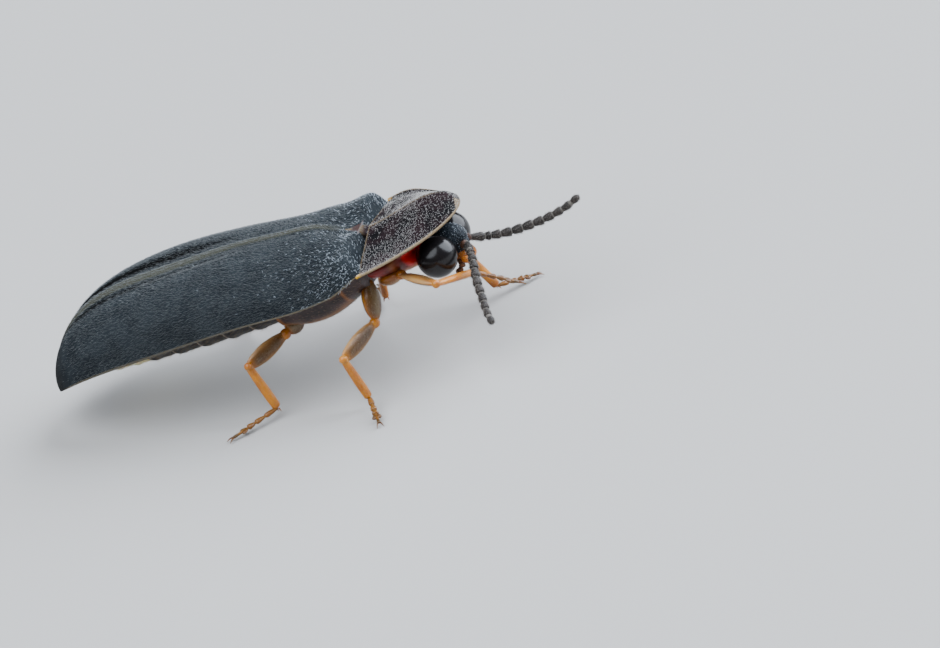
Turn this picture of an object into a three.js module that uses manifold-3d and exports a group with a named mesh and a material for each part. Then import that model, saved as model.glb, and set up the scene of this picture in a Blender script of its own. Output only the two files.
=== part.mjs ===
// Firefly, adult winged male, life size, standing.
// Millimetres. +X is forward, +Y is the animal's left, +Z is up, and the floor is z = 0.
// Trunk pieces are built in a trunk frame whose origin is where the pronotum meets the wing covers,
// and that frame is pitched and lifted to the floor. Legs are built straight in the floor frame.

import * as THREE from 'three';
import { mergeVertices } from 'three/addons/utils/BufferGeometryUtils.js';
import Module from 'manifold-3d';

const wasm = await Module();
wasm.setup();

// Stance
const PITCH = THREE.MathUtils.degToRad(9);
const HINGE_HEIGHT = 4.0;
const GAP = 0.3;

// Wing covers
const ELYTRA_FRONT = 0.42;
const ELYTRA_LENGTH = 11.45;
const ELYTRA_HALF_WIDTH = 2.64;
const ELYTRA_SHOULDER_HALF_WIDTH = 2.5;
const ELYTRA_HEIGHT = 1.5;
const ELYTRA_HEIGHT_GAIN = 0.038;
const ELYTRA_EDGE = -0.2;
const ELYTRA_EDGE_DROOP = 1.0;
const SHOULDER_EDGE_RISE = 0.25;
const SHOULDER_LENGTH = 1.7;
const SHOULDER_DROP = 0.36;
const FRONT_SLOPE_LENGTH = 6.5;
const FRONT_SLOPE_DROP = 0.09;
const EDGE_SAG = { place: 2.3, reach: 1.5, depth: 0.15 };
const SUTURE_DIP = 0.36;
const SUTURE_DIP_HALF_WIDTH = 0.8;
const REAR_SUTURE_DIP = { place: 6.4, reach: 2.5, depth: 0.2 };
const SQUARENESS = { front: 2.7, middle: 2.05, rear: 2.3 };
const ELYTRA_THICKNESS = 0.5;
const ELYTRA_RIDGE_HEIGHT = 0.06;
const ELYTRA_ROWS = 22;
const ELYTRA_COLUMNS = 12;

// Scutellum, the small plate between the roots of the wing covers
const SCUTELLUM_LENGTH = 0.85;
const SCUTELLUM_HALF_WIDTH = 0.26;
const SCUTELLUM_THICKNESS = 0.5;

// Pronotum, the shield over the head
const PRONOTUM_REAR = -0.03;
const PRONOTUM_LENGTH = 2.93;
const PRONOTUM_HALF_WIDTH = 2.39;
const PRONOTUM_THICKNESS = 0.5;
const PRONOTUM_EDGE_THICKNESS = 0.3;
const PRONOTUM_DOME = 0.77;
const PRONOTUM_EDGE_RISE = 0.14;
const PRONOTUM_LEFT_MARGIN_LIFT = 0.2;
const PRONOTUM_CORNER_SWEEP = 0.11;
const PRONOTUM_ROWS = 14;
const PRONOTUM_COLUMNS = 14;

// Head, turned a little to the right about a place on the neck
const HEAD_YAW = THREE.MathUtils.degToRad(3);
const NECK_PLACE = 0.9;
const EYE_CENTRE = [1.835, 0.74, -0.83];
const EYE_RADIUS = 0.6;
const EYE_GAP = 0.14;
const CRANIUM = { centre: [1.98, 0, -0.7], radii: [0.7, 0.66, 0.48] };
const FACE = { centre: [2.3, 0, -1.05], radii: [0.42, 0.44, 0.45] };
const MOUTH = { centre: [2.2, 0, -1.38], radii: [0.32, 0.34, 0.26] };
const PALP_RADIUS = 0.16;
const ANTENNA_ROOT = [2.78, 0.38, -1.0];
const ANTENNA_RADIUS = 0.25;
const ANTENNA_TIP_RADIUS = 0.16;
const ANTENNA_GAP = 0.15;

// Thorax and abdomen
const THORAX_FRONT = -0.36;
const THORAX_REAR = -3.3;
const THORAX_DEPTH = 1.45;
const ABDOMEN_FRONT = THORAX_REAR - GAP;
const ABDOMEN_REAR = -7.9;
const ABDOMEN_DEPTH = 1.35;
const LIGHT_ORGAN_REAR = -9.2;
const TAIL_REAR = -10.05;

// Legs
const FEMUR_RADIUS = 0.29;
const TIBIA_RADIUS = 0.25;
const TARSUS_RADIUS = 0.25;
const TARSOMERES = 5;
const TARSOMERE_GAP_SHARE = 0.05;
const CLAW = { root: 0.08, spread: 0.14, length: 0.3, drop: 0.04, radii: [0.14, 0.12, 0.07] };

const WELD_DISTANCE = 1e-5;

const COLOURS = {
  black: 0x2b2f31,
  slate: 0x3a4144,
  amber: 0xb9752a,
  brown: 0x5c4433,
  red: 0xa3342a,
  tan: 0xb09476,
  pale: 0xd8cf9c,
  eye: 0x0b0b0d,
};

// Numbers

function mix(a, b, t) {
  return a + (b - a) * t;
}

function clamp01(t) {
  return Math.min(1, Math.max(0, t));
}

function smooth(t) {
  const c = clamp01(t);
  return c * c * (3 - 2 * c);
}

function bell(x) {
  return Math.exp(-x * x);
}

// A floor point in the trunk frame

function toTrunk(vector) {
  const c = Math.cos(PITCH);
  const s = Math.sin(PITCH);
  const z = vector.z - HINGE_HEIGHT;
  return new THREE.Vector3(vector.x * c + z * s, vector.y, -vector.x * s + z * c);
}

// Solids

function weld(geometry) {
  const bare = geometry.clone();
  bare.deleteAttribute('normal');
  bare.deleteAttribute('uv');
  const merged = mergeVertices(bare, WELD_DISTANCE);
  const index = merged.index.array;
  const kept = [];
  for (let i = 0; i < index.length; i += 3) {
    const [a, b, c] = [index[i], index[i + 1], index[i + 2]];
    if (a !== b && b !== c && c !== a) {
      kept.push(a, b, c);
    }
  }
  merged.setIndex(kept);
  return merged;
}

function toManifold(geometry) {
  const welded = weld(geometry);
  const mesh = new wasm.Mesh({
    numProp: 3,
    vertProperties: new Float32Array(welded.attributes.position.array),
    triVerts: new Uint32Array(welded.index.array),
  });
  return new wasm.Manifold(mesh);
}

// The largest closed surface of a solid, as a geometry.
function toGeometry(manifold) {
  const parts = manifold.decompose();
  parts.sort((a, b) => b.volume() - a.volume());
  const mesh = parts[0].getMesh();
  const geometry = new THREE.BufferGeometry();
  geometry.setAttribute('position', new THREE.BufferAttribute(new Float32Array(mesh.vertProperties), 3));
  geometry.setIndex(Array.from(mesh.triVerts));
  return geometry;
}

function join(geometries) {
  return geometries.map(toManifold).reduce((whole, piece) => whole.add(piece));
}

// A closed plate between two grids of points that are split into triangles alike.
function plate(rows, columns, outer, inner) {
  const positions = [];
  const index = [];
  for (const face of [outer, inner]) {
    for (let i = 0; i <= rows; i += 1) {
      for (let j = 0; j <= columns; j += 1) {
        positions.push(...face(i / rows, j / columns));
      }
    }
  }
  const half = (rows + 1) * (columns + 1);
  const at = (i, j) => i * (columns + 1) + j;
  for (let i = 0; i < rows; i += 1) {
    for (let j = 0; j < columns; j += 1) {
      const [a, b, c, d] = [at(i, j), at(i + 1, j), at(i + 1, j + 1), at(i, j + 1)];
      index.push(a, b, c, a, c, d);
      index.push(half + a, half + c, half + b, half + a, half + d, half + c);
    }
  }
  const rim = [];
  for (let j = 0; j < columns; j += 1) {
    rim.push([at(0, j), at(0, j + 1)]);
    rim.push([at(rows, j + 1), at(rows, j)]);
  }
  for (let i = 0; i < rows; i += 1) {
    rim.push([at(i + 1, 0), at(i, 0)]);
    rim.push([at(i, columns), at(i + 1, columns)]);
  }
  for (const [a, b] of rim) {
    index.push(a, b, half + b, a, half + b, half + a);
  }
  const geometry = new THREE.BufferGeometry();
  geometry.setAttribute('position', new THREE.Float32BufferAttribute(positions, 3));
  geometry.setIndex(index);
  return outward(weld(geometry));
}

// Closed rings in order, with a fan on each end.
function loft(rings) {
  const positions = [];
  const index = [];
  const sides = rings[0].length;
  rings.forEach((ring) => ring.forEach((point) => positions.push(...point)));
  for (let i = 0; i < rings.length - 1; i += 1) {
    for (let j = 0; j < sides; j += 1) {
      const k = (j + 1) % sides;
      const [a, b, c, d] = [i * sides + j, i * sides + k, (i + 1) * sides + k, (i + 1) * sides + j];
      index.push(a, b, c, a, c, d);
    }
  }
  for (const [ring, flip] of [[0, true], [rings.length - 1, false]]) {
    const centre = [0, 1, 2].map((axis) => rings[ring].reduce((sum, point) => sum + point[axis], 0) / sides);
    const hub = positions.length / 3;
    positions.push(...centre);
    for (let j = 0; j < sides; j += 1) {
      const [a, b] = [ring * sides + j, ring * sides + ((j + 1) % sides)];
      index.push(...(flip ? [hub, b, a] : [hub, a, b]));
    }
  }
  const geometry = new THREE.BufferGeometry();
  geometry.setAttribute('position', new THREE.Float32BufferAttribute(positions, 3));
  geometry.setIndex(index);
  return outward(weld(geometry));
}

// Turns a closed surface so that its faces point out.
function outward(geometry) {
  const position = geometry.attributes.position;
  const index = geometry.index.array;
  const [a, b, c] = [new THREE.Vector3(), new THREE.Vector3(), new THREE.Vector3()];
  let volume = 0;
  for (let i = 0; i < index.length; i += 3) {
    a.fromBufferAttribute(position, index[i]);
    b.fromBufferAttribute(position, index[i + 1]);
    c.fromBufferAttribute(position, index[i + 2]);
    volume += a.dot(b.cross(c));
  }
  if (volume < 0) {
    const turned = [];
    for (let i = 0; i < index.length; i += 3) {
      turned.push(index[i], index[i + 2], index[i + 1]);
    }
    geometry.setIndex(turned);
  }
  return geometry;
}

// One closed cross-section in a plane of constant b, round at the sides.
function section(b, halfWidth, top, bottom, squareness, sides) {
  const middle = (top + bottom) / 2;
  const half = (top - bottom) / 2;
  const ring = [];
  for (let j = 0; j < sides; j += 1) {
    const angle = (2 * Math.PI * (j + 0.5)) / sides;
    const c = Math.cos(angle);
    const s = Math.sin(angle);
    const power = 2 / squareness;
    const l = halfWidth * Math.sign(c) * Math.abs(c) ** power;
    const n = middle + half * Math.sign(s) * Math.abs(s) ** power;
    ring.push([b, l, n]);
  }
  return ring;
}

function ball(centre, radii, across = 12, down = 8) {
  const geometry = new THREE.SphereGeometry(1, across, down);
  geometry.rotateX(Math.PI / 2);
  geometry.scale(...radii);
  geometry.translate(...centre);
  return geometry;
}

// A round-ended limb piece from start to end, whose radius swells between its ends.
// squash flattens it along z before it is turned, for feet that spread sideways.
function limb(start, end, r0, rMid, r1, sides = 8, squash = 1) {
  const length = start.distanceTo(end);
  const points = [
    [0, -r0 * 0.8],
    [r0 * 0.72, -r0 * 0.45],
    [r0, 0],
    [rMid, length * 0.45],
    [r1, length],
    [r1 * 0.72, length + r1 * 0.45],
    [0, length + r1 * 0.8],
  ];
  const geometry = new THREE.LatheGeometry(points.map(([x, y]) => new THREE.Vector2(x, y)), sides);
  const along = new THREE.Vector3().subVectors(end, start).normalize();
  const up = Math.abs(along.z) > 0.9 ? new THREE.Vector3(1, 0, 0) : new THREE.Vector3(0, 0, 1);
  const side = new THREE.Vector3().crossVectors(up, along).normalize();
  const over = new THREE.Vector3().crossVectors(along, side).normalize();
  geometry.scale(1, 1, squash);
  geometry.applyMatrix4(new THREE.Matrix4().makeBasis(side, along, over));
  geometry.translate(start.x, start.y, start.z);
  return outward(weld(geometry));
}

// Wing covers: half-width, height of the edge and height above it, by place along the body

function elytraReach(b) {
  return clamp01(Math.abs(b) / ELYTRA_LENGTH);
}

function elytraHalfWidth(b) {
  const full = mix(ELYTRA_SHOULDER_HALF_WIDTH, ELYTRA_HALF_WIDTH, smooth((Math.abs(b) - 1) / 7));
  return full * Math.sqrt(Math.max(0, 1 - elytraReach(b) ** 5.5));
}

function elytraEdge(b) {
  const place = Math.abs(b);
  const shoulder = SHOULDER_EDGE_RISE * (1 - smooth(place / 1.3));
  const sag = EDGE_SAG.depth * bell((place - EDGE_SAG.place) / EDGE_SAG.reach);
  return ELYTRA_EDGE + shoulder - sag - ELYTRA_EDGE_DROOP * elytraReach(b) ** 8;
}

function elytraRise(b) {
  const place = Math.abs(b);
  const full = ELYTRA_HEIGHT + ELYTRA_HEIGHT_GAIN * place;
  const slope = FRONT_SLOPE_DROP * (1 - smooth(place / FRONT_SLOPE_LENGTH));
  const shoulder = SHOULDER_DROP * (1 - smooth(place / SHOULDER_LENGTH));
  return full * (1 - slope - shoulder) * Math.sqrt(Math.max(0, 1 - elytraReach(b) ** 5));
}

function elytraSquareness(b) {
  const place = Math.abs(b);
  const front = mix(SQUARENESS.front, SQUARENESS.middle, smooth(place / 1.6));
  return mix(front, SQUARENESS.rear, smooth((place - 4) / 3));
}

// The wing covers dip along the line where they meet, behind the scutellum and again further back
function sutureDip(b, l) {
  const front = SUTURE_DIP * (1 - smooth((Math.abs(b) - 0.3) / 2));
  const rear = REAR_SUTURE_DIP.depth * bell((Math.abs(b) - REAR_SUTURE_DIP.place) / REAR_SUTURE_DIP.reach);
  return (front + rear) * bell(l / SUTURE_DIP_HALF_WIDTH);
}

function sutureOffset(b) {
  const notch = 1 - (Math.abs(b) - ELYTRA_FRONT) / (SCUTELLUM_LENGTH + 0.35);
  return GAP / 2 + (SCUTELLUM_HALF_WIDTH + GAP / 2) * Math.max(0, notch);
}

function elytron(side) {
  const surface = (inset) => (u, v) => {
    const eased = Math.sin((u * Math.PI) / 2) * 0.35 + u * 0.65;
    const b = -mix(ELYTRA_FRONT, ELYTRA_LENGTH, eased);
    const shrink = inset / ELYTRA_HALF_WIDTH;
    const drop = inset / elytraRise(-ELYTRA_LENGTH / 2);
    const start = sutureOffset(b);
    const reach = Math.max(0, elytraHalfWidth(b) * (1 - shrink) - start);
    const power = 2 / elytraSquareness(b);
    const angle = (v * Math.PI) / 2;
    const ridges = Math.sin(Math.PI * v * 4) ** 2 * Math.sin(Math.PI * eased) * smooth((1 - eased) * 6);
    const ridge = inset > 0 ? 0 : ELYTRA_RIDGE_HEIGHT * ridges;
    const l = start + reach * Math.sin(angle) ** power;
    const rise = elytraRise(b) * (1 - drop) + ridge;
    const n = elytraEdge(b) + rise * Math.max(0, Math.cos(angle)) ** power - sutureDip(b, l);
    const pulled = b + inset * eased ** 4;
    return [pulled, side * l, n];
  };
  return plate(ELYTRA_ROWS, ELYTRA_COLUMNS, surface(0), surface(ELYTRA_THICKNESS));
}

function scutellumTop() {
  return elytraEdge(-ELYTRA_FRONT) + elytraRise(-ELYTRA_FRONT) - sutureDip(-ELYTRA_FRONT, 0);
}

function scutellum() {
  const outline = new THREE.Shape();
  outline.moveTo(0, -SCUTELLUM_HALF_WIDTH);
  outline.lineTo(-SCUTELLUM_LENGTH * 0.55, -SCUTELLUM_HALF_WIDTH * 0.55);
  outline.lineTo(-SCUTELLUM_LENGTH * 0.8, 0);
  outline.lineTo(-SCUTELLUM_LENGTH * 0.55, SCUTELLUM_HALF_WIDTH * 0.55);
  outline.lineTo(0, SCUTELLUM_HALF_WIDTH);
  const geometry = new THREE.ExtrudeGeometry(outline, { depth: SCUTELLUM_THICKNESS, bevelEnabled: false });
  geometry.translate(-ELYTRA_FRONT, 0, scutellumTop() - SCUTELLUM_THICKNESS);
  return outward(weld(geometry));
}

// Pronotum

function pronotumHalfWidth(reach) {
  return PRONOTUM_HALF_WIDTH * Math.sqrt(Math.max(0, 1 - reach ** 1.35));
}

function pronotumEdge(reach) {
  return 0.02 + 0.1 * reach + PRONOTUM_EDGE_RISE * reach ** 5;
}

function pronotumDome(reach) {
  return PRONOTUM_DOME * mix(0.62, 1, smooth(reach / 0.72)) * Math.sqrt(Math.max(0, 1 - reach ** 10));
}

function pronotum() {
  const surface = (under) => (u, v) => {
    const across = Math.sin((v - 0.5) * Math.PI);
    const sweep = PRONOTUM_CORNER_SWEEP * Math.abs(across) ** 3 * (1 - u);
    const b = PRONOTUM_REAR + PRONOTUM_LENGTH * u - sweep;
    const dome = pronotumDome(u) * (1 - Math.abs(across) ** 1.3);
    const thickness = mix(PRONOTUM_THICKNESS, PRONOTUM_EDGE_THICKNESS, Math.max(across ** 2, u ** 4));
    const lift = PRONOTUM_LEFT_MARGIN_LIFT * bell((u - 0.3) / 0.28) * Math.max(0, across) ** 2;
    const n = pronotumEdge(u) + dome + lift - (under ? thickness : 0);
    return [b, pronotumHalfWidth(u) * across, n];
  };
  return plate(PRONOTUM_ROWS, PRONOTUM_COLUMNS, surface(false), surface(true));
}

// Legs: each point is given in the floor frame, from the hip out to the ankle, and then the toe

const LEGS = {
  leg_fore_right: {
    coxa: [0.26, -0.85, 2.96],
    trochanter: [0.75, -1.27, 3.04],
    knee: [2.18, -2.5, 3.2],
    ankle: [2.76, -0.48, 2.4],
    toe: [3.82, 0.02, 1.74],
  },
  leg_fore_left: {
    coxa: [0.26, 0.85, 2.98],
    trochanter: [0.55, 1.2, 2.5],
    knee: [1.5, 2.4, 1.95],
    ankle: [2.05, 2.85, 0.38],
    toe: [3.1, 3.65, 0.16],
  },
  leg_mid_right: {
    coxa: [-0.42, -1.2, 3.05],
    trochanter: [-0.3, -1.6, 2.1],
    knee: [-1.06, -3.2, 1.79],
    ankle: [-0.74, -3.05, 0.36],
    toe: [-0.2, -4.4, 0.16],
  },
  leg_mid_left: {
    coxa: [-0.42, 1.2, 3.05],
    trochanter: [-0.3, 1.6, 2.1],
    knee: [-1.45, 3.2, 1.95],
    ankle: [-1.65, 3.35, 0.38],
    toe: [-2.25, 4.75, 0.16],
  },
  leg_hind_right: {
    coxa: [-2.9, -1.1, 2.34],
    trochanter: [-3.18, -1.42, 2.14],
    knee: [-4.22, -2.75, 1.9],
    ankle: [-3.78, -2.7, 0.36],
    toe: [-5.05, -3.75, 0.16],
  },
  leg_hind_left: {
    coxa: [-2.9, 1.1, 2.34],
    trochanter: [-3.18, 1.42, 2.14],
    knee: [-4.75, 2.75, 2.05],
    ankle: [-6.1, 3.4, 0.38],
    toe: [-7.7, 4.1, 0.16],
  },
};

const HIP = { fore: [0.3, 0.26], mid: [0.32, 0.27], hind: [0.4, 0.3] };

function legPoints(name) {
  const points = {};
  Object.entries(LEGS[name]).forEach(([key, value]) => {
    points[key] = new THREE.Vector3(...value);
  });
  return points;
}

function tarsus(ankle, toe) {
  const pieces = [];
  const along = new THREE.Vector3().subVectors(toe, ankle);
  const share = [0, 0.3, 0.52, 0.7, 0.84, 1];
  for (let i = 0; i < TARSOMERES; i += 1) {
    const start = ankle.clone().addScaledVector(along, share[i]);
    const end = ankle.clone().addScaledVector(along, share[i + 1] - TARSOMERE_GAP_SHARE);
    const wide = TARSUS_RADIUS * (i === 3 ? 1.3 : 1.05);
    const last = i === TARSOMERES - 1 ? TARSUS_RADIUS * 0.7 : wide;
    pieces.push(limb(start, end, TARSUS_RADIUS * 0.8, wide * 0.92, last, 8, 0.85));
  }
  const unit = along.clone().normalize();
  const across = new THREE.Vector3(-unit.y, unit.x, 0).normalize();
  for (const side of [-1, 1]) {
    const root = toe.clone().addScaledVector(across, side * CLAW.root);
    const point = root.clone().addScaledVector(unit, CLAW.length);
    point.addScaledVector(across, side * CLAW.spread);
    point.z -= CLAW.drop;
    pieces.push(limb(root, point, ...CLAW.radii, 6));
  }
  return pieces;
}

function leg(name) {
  const at = legPoints(name);
  const [hip, neck] = HIP[name.split('_')[1]];
  const pieces = [
    limb(at.coxa, at.trochanter, hip, mix(hip, neck, 0.6), neck * 0.9, 10),
    limb(at.trochanter, at.knee, neck * 0.85, FEMUR_RADIUS, TIBIA_RADIUS, 8),
    limb(at.knee, at.ankle, TIBIA_RADIUS, TIBIA_RADIUS * 0.96, TIBIA_RADIUS, 8),
    ...tarsus(at.ankle, at.toe),
  ];
  const above = new THREE.BoxGeometry(40, 40, 20);
  above.translate(0, 0, 10);
  return toGeometry(join(pieces).intersect(toManifold(above)));
}

// What a trunk piece must stay clear of near a leg's root, in the trunk frame
function legClearance(name) {
  const at = legPoints(name);
  const [hip, neck] = HIP[name.split('_')[1]];
  const coxa = toTrunk(at.coxa);
  const trochanter = toTrunk(at.trochanter);
  const knee = toTrunk(at.knee);
  return join([
    limb(coxa, trochanter, hip + GAP, mix(hip, neck, 0.6) + GAP, neck + GAP, 10),
    limb(trochanter, knee, neck + GAP, FEMUR_RADIUS + GAP, TIBIA_RADIUS + GAP, 8),
  ]);
}

function clearOfLegs(manifold) {
  return Object.keys(LEGS).reduce((rest, name) => rest.subtract(legClearance(name)), manifold);
}

// Antennae: 11 segments along a curve, in the trunk frame

const ANTENNA_PATHS = {
  right: [
    [ANTENNA_ROOT[0], -ANTENNA_ROOT[1], ANTENNA_ROOT[2]],
    [2.84, -0.86, -1.22],
    [2.89, -1.36, -1.54],
    [2.96, -1.82, -1.88],
    [3.07, -2.2, -2.18],
    [3.18, -2.56, -2.43],
    [3.3, -2.82, -2.6],
  ],
  left: [
    ANTENNA_ROOT,
    [3.1, 0.56, -1.32],
    [3.46, 0.66, -1.45],
    [4.16, 0.82, -1.52],
    [4.9, 0.97, -1.52],
    [5.5, 1.08, -1.42],
    [6.02, 1.16, -1.25],
  ],
};
const ANTENNOMERE_GAP = 0.12;
const ANTENNOMERE_LENGTHS = [1.7, 0.55, 0.9, 1.05, 1.05, 1.05, 1.0, 1.0, 0.95, 0.95, 1.1];

function antenna(side) {
  const curve = new THREE.CatmullRomCurve3(ANTENNA_PATHS[side].map((point) => new THREE.Vector3(...point)));
  const total = ANTENNOMERE_LENGTHS.reduce((sum, value) => sum + value, 0);
  const pieces = [];
  let travelled = 0;
  ANTENNOMERE_LENGTHS.forEach((length, i) => {
    const start = curve.getPointAt(travelled / total);
    travelled += length;
    const end = curve.getPointAt(Math.min(1, (travelled - ANTENNOMERE_GAP) / total));
    const radius = mix(ANTENNA_RADIUS, ANTENNA_TIP_RADIUS, (i / (ANTENNOMERE_LENGTHS.length - 1)) ** 3);
    pieces.push(limb(start, end, radius * 0.78, radius * 0.95, radius, 8));
  });
  return join(pieces);
}

// Head

function turnHead(geometry) {
  geometry.translate(-NECK_PLACE, 0, 0);
  geometry.rotateZ(-HEAD_YAW);
  geometry.translate(NECK_PLACE, 0, 0);
  return geometry;
}

function eyeBall(side, radius, across, down) {
  const [b, l, n] = EYE_CENTRE;
  return turnHead(ball([b, side * l, n], [radius, radius, radius], across, down));
}

function head() {
  const pieces = [
    ball(CRANIUM.centre, CRANIUM.radii, 18, 12),
    ball(FACE.centre, FACE.radii, 16, 10),
    ball(MOUTH.centre, MOUTH.radii, 14, 8),
  ];
  for (const side of [-1, 1]) {
    const root = new THREE.Vector3(2.2, side * 0.2, -1.4);
    const tip = new THREE.Vector3(2.04, side * 0.28, -1.68);
    pieces.push(limb(root, tip, PALP_RADIUS, PALP_RADIUS, PALP_RADIUS * 0.65));
  }
  let solid = join(pieces.map(turnHead));
  for (const side of [-1, 1]) {
    solid = solid.subtract(toManifold(eyeBall(side, EYE_RADIUS + EYE_GAP, 20, 14)));
    const [b, l, n] = ANTENNA_ROOT;
    const reach = ANTENNA_RADIUS + ANTENNA_GAP;
    solid = solid.subtract(toManifold(ball([b, side * l, n], [reach, reach, reach], 12, 8)));
  }
  return solid;
}

function eye(side) {
  return weld(eyeBall(side, EYE_RADIUS, 20, 12));
}

// Prothorax under the shield, thorax, abdomen, light organ and tail

function prothorax() {
  const stations = [
    [0.96, 0.45, -0.4, -1.15],
    [0.86, 0.9, -0.34, -1.2],
    [0.6, 1.4, -0.3, -1.18],
    [0.3, 1.62, -0.32, -1.15],
    [-0.02, 1.62, -0.36, -1.1],
  ];
  const rings = stations.map(([b, w, top, bottom]) => section(b, w, top, bottom, 2.6, 16));
  return clearOfLegs(toManifold(loft(rings)));
}

// The room under the wing covers, which close in behind

function innerTop(b) {
  const place = b - ELYTRA_THICKNESS * elytraReach(b) ** 4;
  const left = 1 - ELYTRA_THICKNESS / elytraRise(-ELYTRA_LENGTH / 2);
  return elytraEdge(place) + elytraRise(place) * left - sutureDip(place, 0) - GAP;
}

function innerHalfWidth(b) {
  const place = b - ELYTRA_THICKNESS * elytraReach(b) ** 4;
  return elytraHalfWidth(place) * (1 - ELYTRA_THICKNESS / ELYTRA_HALF_WIDTH) - GAP;
}

function thoraxTop(b) {
  const underScutellum = scutellumTop() - SCUTELLUM_THICKNESS - GAP;
  const underCovers = Math.min(0.45, innerTop(b));
  return mix(underScutellum, underCovers, smooth((Math.abs(b) - SCUTELLUM_LENGTH - 0.4) / 0.7));
}

function thorax() {
  const rings = [];
  const steps = 9;
  for (let i = 0; i <= steps; i += 1) {
    const b = mix(THORAX_FRONT, THORAX_REAR, i / steps);
    const round = Math.sqrt(1 - (2 * (i / steps) - 1) ** 8 * 0.4);
    const depth = THORAX_DEPTH * mix(0.72, 1, smooth(i / 4)) * mix(1, 0.94, smooth((i - 6) / 3));
    rings.push(section(b, (innerHalfWidth(b) - 0.04) * round, thoraxTop(b), -depth, 2.5, 18));
  }
  return clearOfLegs(toManifold(loft(rings)));
}

// Overlapping rings: each segment widens to its rear edge and steps in at the next
function segmented(front, rear, count, width, top, depth) {
  const rings = [];
  for (let k = 0; k < count; k += 1) {
    for (const [share, flare] of [[0, 0.95], [0.5, 1.0], [0.9, 1.03], [0.97, 0.97]]) {
      const b = mix(front, rear, (k + share) / count);
      rings.push(section(b, width(b) * flare, top(b), -depth(b) * flare, 2.5, 18));
    }
  }
  return loft(rings);
}

function abdomenHalfWidth(b) {
  return Math.min(1.9, innerHalfWidth(b) - 0.08) * mix(1, 0.72, smooth((Math.abs(b) - 5) / 5));
}

function abdomenTop(b) {
  return Math.min(innerTop(b) - 0.04, mix(0.42, 0, smooth((Math.abs(b) - 4) / 6)));
}

function abdomenDepth(b) {
  return ABDOMEN_DEPTH * mix(1, 0.9, smooth((Math.abs(b) - 4) / 6));
}

function abdomen() {
  const rings = segmented(ABDOMEN_FRONT, ABDOMEN_REAR, 5, abdomenHalfWidth, abdomenTop, abdomenDepth);
  return clearOfLegs(toManifold(rings));
}

function lightOrgan() {
  return segmented(ABDOMEN_REAR - GAP, LIGHT_ORGAN_REAR, 2, abdomenHalfWidth, abdomenTop, abdomenDepth);
}

function tail() {
  const front = LIGHT_ORGAN_REAR - GAP;
  const halfWidth = abdomenHalfWidth(LIGHT_ORGAN_REAR);
  const top = abdomenTop(TAIL_REAR);
  const bottom = -abdomenDepth(LIGHT_ORGAN_REAR);
  const rings = [
    section(front, halfWidth, top, bottom, 2.2, 18),
    section(mix(front, TAIL_REAR, 0.6), halfWidth * 0.8, top - 0.05, bottom * 0.96, 2.2, 18),
    section(TAIL_REAR, halfWidth * 0.36, top - 0.2, bottom * 0.88, 2.2, 18),
  ];
  return loft(rings);
}

// Assembly

function material(colour, roughness) {
  return new THREE.MeshStandardMaterial({ color: colour, roughness, metalness: 0 });
}

const trunk = new THREE.Group();
trunk.rotation.y = -PITCH;
trunk.position.z = HINGE_HEIGHT;

const limbs = new THREE.Group();

function add(group, name, geometry, colour, roughness) {
  const mesh = new THREE.Mesh(geometry, material(colour, roughness));
  mesh.name = name;
  group.add(mesh);
}

add(trunk, 'pronotum', pronotum(), COLOURS.slate, 0.6);
add(trunk, 'scutellum', scutellum(), COLOURS.tan, 0.6);
add(trunk, 'head', toGeometry(head()), COLOURS.black, 0.4);
add(trunk, 'prothorax', toGeometry(prothorax()), COLOURS.red, 0.5);
add(trunk, 'thorax', toGeometry(thorax()), COLOURS.brown, 0.5);
add(trunk, 'abdomen', toGeometry(abdomen()), COLOURS.brown, 0.5);
add(trunk, 'light_organ', lightOrgan(), COLOURS.pale, 0.5);
add(trunk, 'abdomen_tip', tail(), COLOURS.brown, 0.5);

for (const [name, side] of [['right', -1], ['left', 1]]) {
  add(trunk, `elytron_${name}`, elytron(side), COLOURS.slate, 0.6);
  add(trunk, `eye_${name}`, eye(side), COLOURS.eye, 0.1);
  add(trunk, `antenna_${name}`, toGeometry(antenna(name)), COLOURS.black, 0.5);
}

Object.keys(LEGS).forEach((name) => {
  add(limbs, name, leg(name), COLOURS.amber, 0.4);
});

const firefly = new THREE.Group();
firefly.add(trunk, limbs);
firefly.updateMatrixWorld(true);

const box = new THREE.Box3().setFromObject(firefly, true);
const centre = box.getCenter(new THREE.Vector3());
firefly.position.set(-centre.x, -centre.y, -box.min.z);
firefly.updateMatrixWorld(true);

export default firefly;
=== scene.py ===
"""A life-size winged firefly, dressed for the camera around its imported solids.

Shapes are worked out in millimetres in the trunk frame: b forward, l to the animal's left, n up, with the
origin where the pronotum meets the wing covers. Legs are given in the floor frame. Both are then carried to
the row frame in metres.
"""

import math

import bmesh
import bpy
import numpy as np
from mathutils import Matrix, Vector


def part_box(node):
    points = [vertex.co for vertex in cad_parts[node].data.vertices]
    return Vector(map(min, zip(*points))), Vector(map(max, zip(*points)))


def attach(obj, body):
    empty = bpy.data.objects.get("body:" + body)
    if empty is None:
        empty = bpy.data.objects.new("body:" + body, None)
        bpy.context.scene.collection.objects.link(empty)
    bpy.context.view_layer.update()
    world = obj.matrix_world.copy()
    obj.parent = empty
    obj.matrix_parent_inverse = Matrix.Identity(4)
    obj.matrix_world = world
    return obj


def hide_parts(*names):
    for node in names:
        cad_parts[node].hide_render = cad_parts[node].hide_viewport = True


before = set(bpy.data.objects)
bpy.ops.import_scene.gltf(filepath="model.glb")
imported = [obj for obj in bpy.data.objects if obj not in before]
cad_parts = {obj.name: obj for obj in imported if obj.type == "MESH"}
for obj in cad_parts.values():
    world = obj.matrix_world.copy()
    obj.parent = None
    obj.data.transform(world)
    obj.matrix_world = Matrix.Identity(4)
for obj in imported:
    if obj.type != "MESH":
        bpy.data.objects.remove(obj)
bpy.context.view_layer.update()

MM = 0.001

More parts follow.
